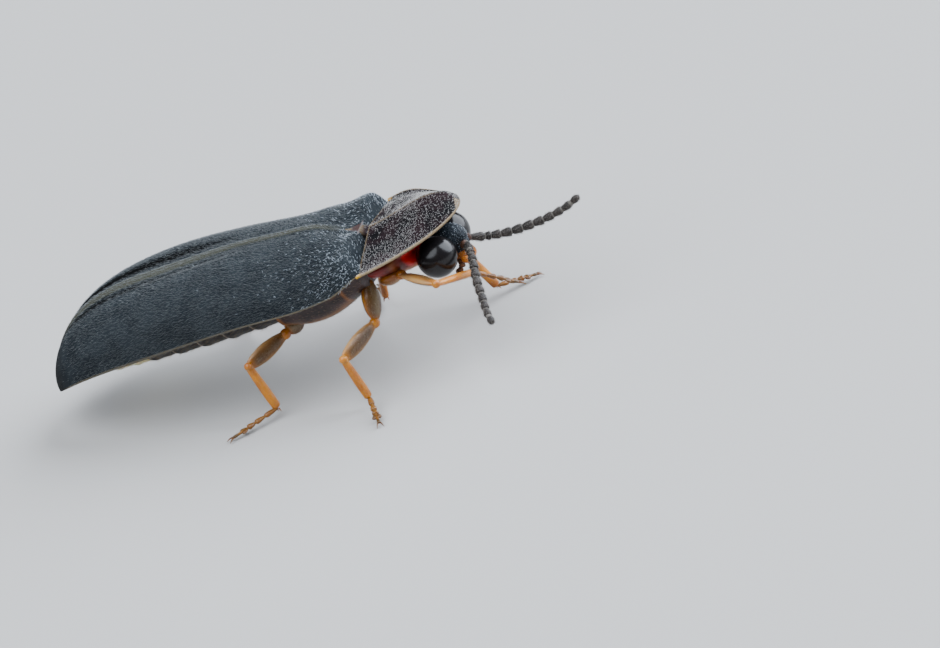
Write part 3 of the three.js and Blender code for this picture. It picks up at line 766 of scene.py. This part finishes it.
def shield_thinning(place, rng):
    """Hair is sparse on the rear half of each side and denser towards the margin and the front."""
    reach, across = 1 - (1 - place[:, 0]) ** 1.5, np.abs(np.sin((place[:, 1] - 0.5) * np.pi))
    bare = 0.82 * bell(across - 0.3, 0.35) * (1 - smooth((reach - 0.2) / 0.5))
    front = 0.5 * smooth((reach - 0.45) / 0.3)
    clump = 0.25 * np.sin(31 * reach + 3 * np.sin(23 * across)) * np.sin(37 * across + 2 * np.sin(19 * reach))
    return rng.random(len(place)) < 1 - np.maximum(bare, front) + clump


def pronotum():
    skin = Skin()
    reach = 1 - (1 - np.linspace(0, 1, PRONOTUM_ROWS)[:, None]) ** 1.5
    across = np.sin(np.linspace(-np.pi / 2, np.pi / 2, PRONOTUM_COLUMNS))[None, :]
    wide = np.abs(across)
    half = PRONOTUM_HALF_WIDTH * np.sqrt(np.maximum(1 - reach**1.35, 0))
    b = PRONOTUM_REAR + PRONOTUM_LENGTH * reach - PRONOTUM_CORNER_SWEEP * wide**3 * (1 - reach)
    edge = 0.02 + 0.1 * reach + PRONOTUM_EDGE_RISE * reach**5
    ridge = 1 - np.sqrt(wide**2 + 0.0016) ** 1.3
    dome = PRONOTUM_DOME * mix(0.62, 1.0, smooth(reach / 0.72)) * np.sqrt(1 - reach**10) * ridge
    lift = PRONOTUM_LEFT_MARGIN_LIFT * bell(reach - 0.3, 0.28) * np.maximum(across, 0) ** 2
    keel = 0.02 * bell(across, 0.022) * np.sqrt(1 - reach**3)
    hollows = -0.05 * bell(wide - 0.45, 0.2) * bell(reach - 0.2, 0.18)
    hollows = hollows - 0.04 * bell(wide - 0.83, 0.1) * (1 - reach)
    lip = 0.045 * smooth((wide - 0.93) / 0.05) * (1 - reach**4)
    lip = lip + 0.05 * smooth((reach - 0.97) / 0.03) * (1 - wide**2)
    n = edge + dome + lift + keel + hollows + lip
    top = np.stack(np.broadcast_arrays(b, half * across, n), -1)
    thickness = mix(0.24, 0.06, np.maximum(wide**2, reach**4))
    under = top - np.stack(np.broadcast_arrays(0 * b, 0 * b, thickness), -1)
    rim = np.maximum(smooth((wide - 0.964) / 0.014), smooth((reach - 0.989) / 0.006))
    rim = np.maximum(rim, 0.8 * smooth((0.016 - reach) / 0.01))
    rim = np.maximum(rim, 0.9 * bell(across, 0.016) * (1 - smooth((reach - 0.7) / 0.25)))
    corner = smooth((wide - 0.9) / 0.06) * smooth((0.07 - reach) / 0.05)
    skin.shell(top, under, np.broadcast_to(rim, top.shape[:2]), np.broadcast_to(corner, top.shape[:2]))
    skin.build("pronotum", SHIELD, ["pronotum"])
    hair(
        "shield_hair", skin.patches, BRIGHT,
        per_mm2=480, length=0.038, width=0.018, lift=0.6, seed=23, spread=1.2, keep=shield_thinning,
    )


# Head

def eyes():
    for name, side in (("right", -1), ("left", 1)):
        skin = Skin(head_to_row)
        centre = (EYE_CENTRE[0], side * EYE_CENTRE[1], EYE_CENTRE[2])
        skin.grid(ball(centre, (EYE_RADIUS,) * 3, 64, 48, axis=1), hairy=False)
        skin.build(f"eye_{name}", EYE_BLACK, [f"eye_{name}"])


def mouthparts(skin, side):
    """The mandible and the longer and shorter palp of one side."""
    mandible = lobe(
        (2.3, side * 0.3, -1.3), (2.52, side * 0.05, -1.56), [(0, 0.13), (0.5, 0.1), (1, 0.03)],
        bend=(0.08, side * 0.1, 0),
    )
    skin.grid(mandible, tint=1.0, hairy=False)
    joints = [
        (2.22, side * 0.28, -1.34), (2.3, side * 0.42, -1.42), (2.26, side * 0.48, -1.52),
        (2.17, side * 0.48, -1.6), (2.04, side * 0.4, -1.7),
    ]
    for k in range(4):
        profile = [(0, 0.07), (0.7, 0.095), (1, 0.08)] if k < 3 else [(0, 0.08), (0.4, 0.12), (1, 0.04)]
        skin.grid(lobe(joints[k], joints[k + 1], profile, rings=16, cap=0.6), tint=0.2, hairy=False)
    joints = [(2.2, side * 0.12, -1.44), (2.24, side * 0.15, -1.56), (2.16, side * 0.16, -1.66)]
    for k in range(2):
        profile = [(0, 0.04), (0.6, 0.055), (1, 0.035)]
        skin.grid(lobe(joints[k], joints[k + 1], profile, rings=14), tint=0.3, hairy=False)


def head():
    skin = Skin(head_to_row)
    skin.grid(ball((1.92, 0, -0.68), (0.76, 0.5, 0.47), 56, 44))
    skin.grid(ball((2.18, 0, -0.93), (0.47, 0.37, 0.42), 48, 32))
    for side in (-1, 1):
        socket = (EYE_CENTRE[0] - 0.08, side * (EYE_CENTRE[1] - 0.1), EYE_CENTRE[2] - 0.08)
        skin.grid(ball(socket, (0.62, 0.57, 0.62), 40, 30, axis=1), pale=1.0, hairy=False)
        skin.grid(ball((2.55, side * 0.2, -0.93), (0.13, 0.14, 0.14), 24, 14), tint=0.1, hairy=False)
    skin.grid(ball((2.3, 0, -1.22), (0.34, 0.36, 0.24), 36, 24), tint=0.7)
    skin.grid(ball((2.42, 0, -1.38), (0.2, 0.27, 0.1), 28, 18), tint=1.0, hairy=False)
    for side in (-1, 1):
        mouthparts(skin, side)
    skin.build("head", HEAD_SHELL, ["head"])
    hair(
        "head_hair", skin.patches, FROSTED,
        per_mm2=130, length=0.065, width=0.027, lift=1.0, seed=31, spread=1.5,
    )


# Places along the middle of each antenna, in the trunk frame
ANTENNAE = {
    "right": [
        (2.58, -0.21, -0.93), (2.72, -0.5, -1.0), (2.84, -0.95, -1.26), (2.87, -1.22, -1.44),
        (2.9, -1.5, -1.64), (2.94, -1.72, -1.8), (3.01, -1.95, -1.98), (3.06, -2.18, -2.17),
        (3.1, -2.38, -2.32), (3.18, -2.58, -2.45), (3.29, -2.8, -2.61),
    ],
    "left": [
        (2.58, 0.21, -0.98), (2.88, 0.46, -1.22), (3.16, 0.6, -1.34), (3.42, 0.68, -1.43),
        (3.75, 0.76, -1.48), (4.1, 0.83, -1.51), (4.47, 0.9, -1.52), (4.82, 0.97, -1.52),
        (5.17, 1.03, -1.48), (5.53, 1.09, -1.41), (5.97, 1.16, -1.25),
    ],
}
ANTENNA_LENGTHS = (1.5, 0.55, 0.9, 1.0, 1.0, 1.0, 1.0, 0.95, 0.95, 0.9, 1.1)
ANTENNA_CORE_RADIUS = 0.09
ANTENNA_RINGS = 26


def along_path(points, share):
    """The place at a share of the length of a path through points."""
    points = np.asarray(points, float)
    steps = np.concatenate([[0], np.cumsum(np.linalg.norm(np.diff(points, axis=0), axis=1))])
    pairs = list(zip(steps / steps[-1], points))
    return curve(pairs, np.atleast_1d(share))


def antenna(name):
    skin = Skin()
    total = sum(ANTENNA_LENGTHS)
    last = len(ANTENNA_LENGTHS) - 1
    core = along_path(ANTENNAE[name], np.linspace(0.01, 0.95, 60))
    skin.grid(tube(core, np.full(60, ANTENNA_CORE_RADIUS), sides=12), pale=0.3, hairy=False)
    done = 0.0
    for k, length in enumerate(ANTENNA_LENGTHS):
        start = along_path(ANTENNAE[name], done / total)[0]
        done += length
        end = along_path(ANTENNAE[name], (done - 0.04) / total)[0]
        wide = mix(0.13, 0.11, k / 10) * (1 + 0.14 * float(bell(k - 5, 2.6)))
        profile = [(0, wide * 0.76), (0.3, wide * 0.9), (0.85, wide), (1, wide * 0.9)]
        if k == 0:
            profile = [(0, 0.09), (0.5, 0.115), (0.85, 0.13), (1, 0.1)]
        if k == last:
            profile = [(0, wide * 0.66), (0.45, wide), (0.8, wide * 0.8), (1, wide * 0.4)]
        points = lobe(start, end, profile, rings=ANTENNA_RINGS, cap=0.25 if k < last else 1.0)
        rows = np.linspace(0, 1, ANTENNA_RINGS)[:, None]
        skin.grid(points, pale=0.4 * smooth((rows - 0.88) / 0.06) * (k < last))
    skin.build(f"antenna_{name}", FEELER, [f"antenna_{name}"])
    hair(
        f"antenna_hair_{name}", skin.patches, GREY_HAIR,
        per_mm2=300, length=0.075, width=0.011, lift=0.5, seed=41,
    )


# Trunk

# Stations of the prothorax: place, half width above and below, top and bottom
PROTHORAX = [
    (-0.12, 2.12, 0.8, -0.06, -1.0), (0.1, 2.1, 0.8, -0.04, -1.06), (0.4, 1.98, 0.8, -0.03, -1.12),
    (0.75, 1.72, 0.72, -0.04, -1.14), (1.0, 1.2, 0.6, -0.12, -1.14), (1.2, 0.5, 0.45, -0.3, -1.12),
    (1.55, 0.34, 0.34, -0.42, -1.05),
]
THORAX_BELLY = [(-3.35, -1.4), (-2.6, -1.6), (-1.9, -1.58), (-0.95, -1.25), (-0.34, -0.95)]
THORAX_LOWER_WIDTH = 0.84
ABDOMEN_FRONT = -3.45
LIGHT_ORGAN_FRONT = -7.95
LIGHT_ORGAN_REAR = -9.3

# The columns of each skin that face down and carry hair
PROTHORAX_UNDERSIDE = slice(38, 70)
THORAX_UNDERSIDE = slice(40, 79)
ABDOMEN_UNDERSIDE = slice(38, 80)


def prothorax():
    skin = Skin()
    places = np.linspace(PROTHORAX[0][0], PROTHORAX[-1][0], 50)
    values = curve([(place, np.array(rest)) for place, *rest in PROTHORAX], places)
    rings = np.array([rounded_ring(b, *v, squareness=2.4, sides=72) for b, v in zip(places, values)])
    lower = np.maximum(smooth((-0.7 - rings[..., 2]) / 0.25), 0.3 * smooth((rings[..., 2] + 0.26) / 0.1))
    fold = 0.6 * bell(rings[..., 0] - 0.62, 0.12)
    skin.grid(rings, tint=np.maximum(lower, fold), pale=smooth((rings[..., 0] - 0.86) / 0.08) * (1 - lower))
    skin.build("prothorax", RED_SIDE, ["prothorax"])
    hair(
        "prothorax_hair", [skin.patches[0][:, PROTHORAX_UNDERSIDE]], GOLDEN,
        per_mm2=30, length=0.1, width=0.007, lift=0.4, seed=61,
    )


def thorax():
    skin = Skin()
    places = np.linspace(THORAX_BELLY[0][0], THORAX_BELLY[-1][0], 70)
    half = np.minimum(elytra_half_width(places) - 0.42, 2.2)
    belly = curve(THORAX_BELLY, places)
    top = np.minimum(elytra_edge(places) + elytra_rise(places) - 0.32, 0.6)
    rings = np.array([
        rounded_ring(b, w, w * THORAX_LOWER_WIDTH, t, d, squareness=2.5, sides=80)
        for b, w, t, d in zip(places, half, top, belly)
    ])
    seam = bell(rings[..., 0] + 1.05, 0.05) + bell(rings[..., 0] + 3.3, 0.06)
    side_line = bell(rings[..., 2] + 0.55, 0.03) * smooth((-1.0 - rings[..., 0]) / 0.1)
    rings[..., 2] += 0.03 * side_line
    low_rim = bell((rings[..., 2] - belly[:, None]) - 0.28, 0.14) * smooth((-0.9 - rings[..., 0]) / 0.3)
    skin.grid(rings, tint=np.clip(seam + 0.5 * side_line + low_rim, 0, 1))
    skin.build("thorax", BROWN_PLATE, ["thorax"])
    hair(
        "thorax_hair", [skin.patches[0][:, THORAX_UNDERSIDE]], GOLDEN,
        per_mm2=40, length=0.11, width=0.007, lift=0.35, seed=62,
    )


def abdomen_half(b):
    return np.minimum(1.95, elytra_half_width(b) - 0.55) * mix(1, 0.74, smooth((np.abs(b) - 5) / 5))


def abdomen_section(b, flare):
    """A cross-section of the abdomen, widened by flare."""
    reach = smooth((abs(b) - 4) / 6)
    top = mix(0.42, 0.0, reach)
    depth = 1.35 * mix(1, 0.9, reach)
    half = float(abdomen_half(np.array(b))) * flare
    return rounded_ring(b, half, half * 0.72, top, -depth * flare, squareness=2.3, sides=80)


def segments(skin, front, rear, count, overlap=0.16):
    """Telescoping rings: each segment's rear edge stands round the front of the next."""
    for k in range(count):
        start = mix(front, rear, k / count)
        end = mix(front, rear, (k + 1) / count) - overlap * 0.4
        share = np.linspace(0, 1, 22)
        flares = curve([(0, 0.9), (0.2, 0.955), (0.7, 0.985), (0.93, 1.0), (1, 0.985)], share)
        rings = [abdomen_section(mix(start, end, s), f) for s, f in zip(share, flares)]
        lip = abdomen_section(end + 0.02, 0.9)
        points = np.array(rings + [lip])
        rows = np.append(share, 1.0)[:, None]
        edge = smooth((rows - 0.9) / 0.08) * np.ones((1, points.shape[1]))
        spot = bell(points[..., 2] + 0.45, 0.12) * bell(rows - 0.5, 0.3) * 0.5
        skin.grid(points, tint=np.clip(spot, 0, 1), pale=0.55 * edge)


def abdomen():
    skin = Skin()
    segments(skin, ABDOMEN_FRONT, LIGHT_ORGAN_FRONT, 5)
    skin.build("abdomen", BELLY, ["abdomen"])
    hair(
        "abdomen_hair", [p[:, ABDOMEN_UNDERSIDE] for p in skin.patches], GOLDEN,
        per_mm2=50, length=0.14, width=0.008, lift=0.4, seed=63,
    )


def light_organ():
    skin = Skin()
    segments(skin, LIGHT_ORGAN_FRONT, LIGHT_ORGAN_REAR, 2, overlap=0.1)
    skin.build("light_organ", LANTERN, ["light_organ"])
    hair(
        "light_organ_hair", [p[:, ABDOMEN_UNDERSIDE] for p in skin.patches], GOLDEN,
        per_mm2=40, length=0.12, width=0.007, lift=0.4, seed=64,
    )


def abdomen_tip():
    skin = Skin()
    share = np.linspace(0, 1, 24)
    rings = []
    for s in share:
        shrink = math.sqrt(max(1 - s**2.2, 0.02))
        ring = abdomen_section(LIGHT_ORGAN_REAR, 0.95)
        ring[:, 0] = -9.32 - 0.72 * s
        ring[:, 1] *= shrink
        ring[:, 2] = -0.6 + (ring[:, 2] + 0.6) * mix(1, shrink, 0.8) - 0.1 * s
        rings.append(ring)
    skin.grid(np.array(rings), tint=0.4 * smooth((share - 0.6) / 0.3)[:, None])
    skin.build("abdomen_tip", BELLY, ["abdomen_tip"])


# Legs, in the floor frame

# For each leg: the hip, trochanter, knee, ankle and toe
LEGS = {
    "fore_right": [
        (0.02, -0.9, 3.0), (0.76, -1.25, 3.33), (2.22, -2.45, 3.4), (2.75, -0.56, 2.64), (3.82, 0.02, 1.76),
    ],
    "fore_left": [
        (0.24, 0.85, 2.98), (0.55, 1.2, 2.5), (1.5, 2.4, 1.95), (2.05, 2.85, 0.36), (3.1, 3.65, 0.12),
    ],
    "mid_right": [
        (-0.34, -1.1, 3.3), (-0.3, -1.6, 2.1), (-1.08, -3.2, 1.81), (-0.75, -3.05, 0.34), (-0.2, -4.4, 0.12),
    ],
    "mid_left": [
        (-0.34, 1.1, 3.3), (-0.3, 1.6, 2.1), (-1.45, 3.2, 1.95), (-1.65, 3.35, 0.36), (-2.25, 4.75, 0.12),
    ],
    "hind_right": [
        (-2.82, -0.75, 2.34), (-3.18, -1.42, 2.14), (-4.22, -2.72, 1.88), (-3.78, -2.68, 0.34),
        (-5.05, -3.75, 0.12),
    ],
    "hind_left": [
        (-2.82, 0.75, 2.34), (-3.18, 1.42, 2.14), (-4.75, 2.75, 2.05), (-6.1, 3.4, 0.36), (-7.7, 4.1, 0.12),
    ],
}
# For each pair of legs: the coxa's radius and how dark it is
COXAE = {"fore": (0.28, 0.55), "mid": (0.32, 1.0), "hind": (0.32, 1.0)}
# The (share, radius) profiles of the other parts
TROCHANTER = [(0, 0.13), (0.5, 0.17), (1, 0.15)]
FEMUR = [(0, 0.13), (0.25, 0.22), (0.6, 0.27), (0.88, 0.2), (1, 0.14)]
TIBIA = [(0, 0.12), (0.2, 0.135), (0.8, 0.15), (1, 0.14)]
FOOT_LOBE = [(0, 0.06), (0.6, 0.08), (1, 0.07)]
CLAW = [(0, 0.03), (0.5, 0.024), (1, 0.008)]
SPUR = [(0, 0.028), (1, 0.008)]
KNEE_RADIUS = 0.135
TARSOMERE_SHARES = (0, 0.3, 0.51, 0.68, 0.82, 1.0)
TARSOMERE_RADII = (0.095, 0.1, 0.105, None, 0.06)
FORKED_TARSOMERE = 3
FOOT_CORE_RADIUS = 0.05
LEG_SIDES = 24
LEG_RINGS = 30
UPWARD = np.array([0, 0, 1.0])


def foot(skin, ankle, toe):
    """Five segments on a thin core, the fourth of them forked."""
    along = toe - ankle
    across = unit(np.cross(along, UPWARD))
    core = ankle + along * np.linspace(0.02, 0.97, 20)[:, None]
    skin.grid(tube(core, np.full(20, FOOT_CORE_RADIUS), UPWARD, 0.8, 12), tint=0.6, hairy=False)
    for k, wide in enumerate(TARSOMERE_RADII):
        start = ankle + along * TARSOMERE_SHARES[k]
        end = ankle + along * (TARSOMERE_SHARES[k + 1] - 0.015)
        if k == FORKED_TARSOMERE:
            for fork in (-1, 1):
                spread = fork * 0.085 * across
                root, tip = start + spread * 0.3, end + spread * 1.2 - UPWARD * 0.01
                branch = lobe(root, tip, FOOT_LOBE, UPWARD, 0.6, rings=18, sides=16, cap=0.7)
                skin.grid(branch, tint=0.85)
            continue
        profile = [(0, wide * 0.62), (0.75, wide), (1, wide * 0.9)]
        segment = lobe(start, end, profile, UPWARD, 0.8, rings=18, sides=16, cap=0.4)
        skin.grid(segment, tint=mix(0.6, 0.9, k / 4))


def claws_and_spurs(skin, ankle, toe, shin, side):
    along = toe - ankle
    across = unit(np.cross(along, UPWARD))
    forward = unit(along * np.array([1, 1, 0.2]))
    for fork in (-1, 1):
        root = toe - forward * 0.04 + fork * 0.03 * across
        tip = toe + forward * 0.17 + fork * 0.11 * across - UPWARD * 0.07
        claw = lobe(root, tip, CLAW, rings=14, sides=10, bend=(0, 0, 0.03))
        skin.grid(claw, tint=0.9, hairy=False)
        tip = ankle + unit(shin) * 0.14 + fork * 0.09 * side
        spur = lobe(ankle + fork * 0.06 * side, tip, SPUR, rings=10, sides=8)
        skin.grid(spur, tint=0.5, hairy=False)


def leg(name):
    skin = Skin(floor_to_row)
    coxa, trochanter, knee, ankle, toe = (np.array(p) for p in LEGS[name])
    thigh, shin = knee - trochanter, ankle - knee
    side = unit(np.cross(thigh, shin))
    hip, dark = COXAE[name.split("_")[0]]
    turn = np.linspace(0, 2 * np.pi, LEG_SIDES, endpoint=False)[None, :]
    rows = np.linspace(0, 1, LEG_RINGS)[:, None]
    edge, face = np.abs(np.cos(turn)) ** 5, np.abs(np.sin(turn))
    middle = smooth((rows - 0.08) / 0.25) * smooth((0.95 - rows) / 0.25)
    fine = {"sides": LEG_SIDES, "rings": LEG_RINGS}
    hip_profile = [(0, hip * 0.62), (0.45, hip), (0.75, hip * 0.85), (1, 0.14)]
    points = lobe(coxa, trochanter, hip_profile, side, 0.75, cap=0.8, **fine)
    skin.grid(points, tint=dark * face**0.35 * middle, pale=0.25 * face**8 * middle)
    joint = trochanter - 0.1 * unit(thigh), trochanter + 0.26 * unit(thigh)
    skin.grid(lobe(*joint, TROCHANTER, side, 0.9))
    points = lobe(trochanter + 0.06 * unit(thigh), knee, FEMUR, side, 0.5, cap=0.7, **fine)
    skin.grid(points, tint=0.95 * face**0.7 * middle, pale=0.55 * edge * middle)
    skin.grid(ball(knee, (KNEE_RADIUS,) * 3, 20, 14), pale=0.05, hairy=False)
    points = lobe(knee, ankle, TIBIA, side, 0.75, cap=0.6, **fine)
    skin.grid(points, tint=0.25 * smooth((rows - 0.8) / 0.2))
    foot(skin, ankle, toe)
    claws_and_spurs(skin, ankle, toe, shin, side)
    skin.build(f"leg_{name}", AMBER, [f"leg_{name}"])
    hair(
        f"leg_hair_{name}", skin.patches, GOLDEN,
        per_mm2=60, length=0.1, width=0.006, lift=0.4, seed=71,
    )


# Stage, light and camera

# In metres
FLOOR_HALF_SIZE = 1.5
CLIP_START = 0.002
CLIP_END = 20
FLOOR_TONES = (0.40, 0.39, 0.378), (0.43, 0.42, 0.408)
# For each lamp: the shares of right, up and toward the camera in its direction, then its distance and size
# in metres, watts and colour
LAMPS = {
    "key_light": ((0.55, 0.83, 0.05), 0.32, 0.44, 4.5, (0.88, 0.95, 1.05)),
    "side_light": ((-0.6, 0.47, 0.65), 0.3, 0.42, 2.2, (0.90, 0.96, 1.04)),
}
# In the trunk frame
LAMP_TARGET = (0.5, 0, -0.5)
SKY_COLOUR = (0.86, 0.9, 0.95, 1)
SKY_STRENGTH = 0.1


def floor():
    shader = Shader("floor_plain")
    shader.colour(shader.blend(shader.noise(0.02), *FLOOR_TONES))
    shader.set(Roughness=0.75, Specular_IOR_Level=0.2)
    mesh = bpy.data.meshes.new("floor")
    corners = [(x * FLOOR_HALF_SIZE, y * FLOOR_HALF_SIZE, 0) for x, y in ((-1, -1), (1, -1), (1, 1), (-1, 1))]
    mesh.from_pydata(corners, [], [(0, 1, 2, 3)])
    mesh.materials.append(shader.material)
    piece = bpy.data.objects.new("floor", mesh)
    bpy.context.collection.objects.link(piece)


def view_axes():
    """Right, up and forward of the camera, in the row frame."""
    ca, sa = math.cos(VIEW_AZIMUTH), math.sin(VIEW_AZIMUTH)
    ce, se = math.cos(VIEW_ELEVATION), math.sin(VIEW_ELEVATION)
    forward = np.array([-sa * ce, ca * ce, -se])
    level_right = np.array([ca, sa, 0])
    level_up = np.cross(level_right, forward)
    cr, sr = math.cos(VIEW_ROLL), math.sin(VIEW_ROLL)
    right = level_right * cr - level_up * sr
    up = level_up * cr + level_right * sr
    return right, up, forward


def camera():
    right, up, forward = view_axes()
    hinge = trunk_to_row((0, 0, 0))
    aim = hinge + (right * AIM_RIGHT - up * AIM_DOWN) * MM
    distance = LENS / SENSOR * IMAGE_WIDTH_MM * MM
    data = bpy.data.cameras.new("camera")
    data.lens = LENS
    data.sensor_width = SENSOR
    data.clip_start = CLIP_START
    data.clip_end = CLIP_END
    eye = bpy.data.objects.new("camera", data)
    bpy.context.collection.objects.link(eye)
    place = Vector(aim - forward * distance)
    turn = Matrix((right, up, -forward)).transposed().to_4x4()
    eye.matrix_world = Matrix.Translation(place) @ turn
    bpy.context.scene.camera = eye


def softbox(name, direction, distance, size, energy, colour):
    """A round lamp that faces the front of the trunk from a direction."""
    target = Vector(trunk_to_row(LAMP_TARGET))
    data = bpy.data.lights.new(name, "AREA")
    data.shape = "DISK"
    data.size = size
    data.energy = energy
    data.color = colour
    lamp = bpy.data.objects.new(name, data)
    bpy.context.collection.objects.link(lamp)
    direction = Vector(direction).normalized()
    lamp.location = target + direction * distance
    lamp.rotation_euler = direction.to_track_quat("Z", "Y").to_euler()


def lights():
    right, up, forward = view_axes()
    for name, (shares, *rest) in LAMPS.items():
        softbox(name, right * shares[0] + up * shares[1] - forward * shares[2], *rest)
    world = bpy.data.worlds.new("studio")
    world.use_nodes = True
    background = world.node_tree.nodes["Background"]
    background.inputs["Color"].default_value = SKY_COLOUR
    background.inputs["Strength"].default_value = SKY_STRENGTH
    bpy.context.scene.world = world


elytron("right", -1)
elytron("left", 1)
scutellum()
pronotum()
eyes()
head()
antenna("right")
antenna("left")
prothorax()
thorax()
abdomen()
light_organ()
abdomen_tip()
for leg_name in LEGS:
    leg(leg_name)
floor()
camera()
lights()

bpy.context.view_layer.update()
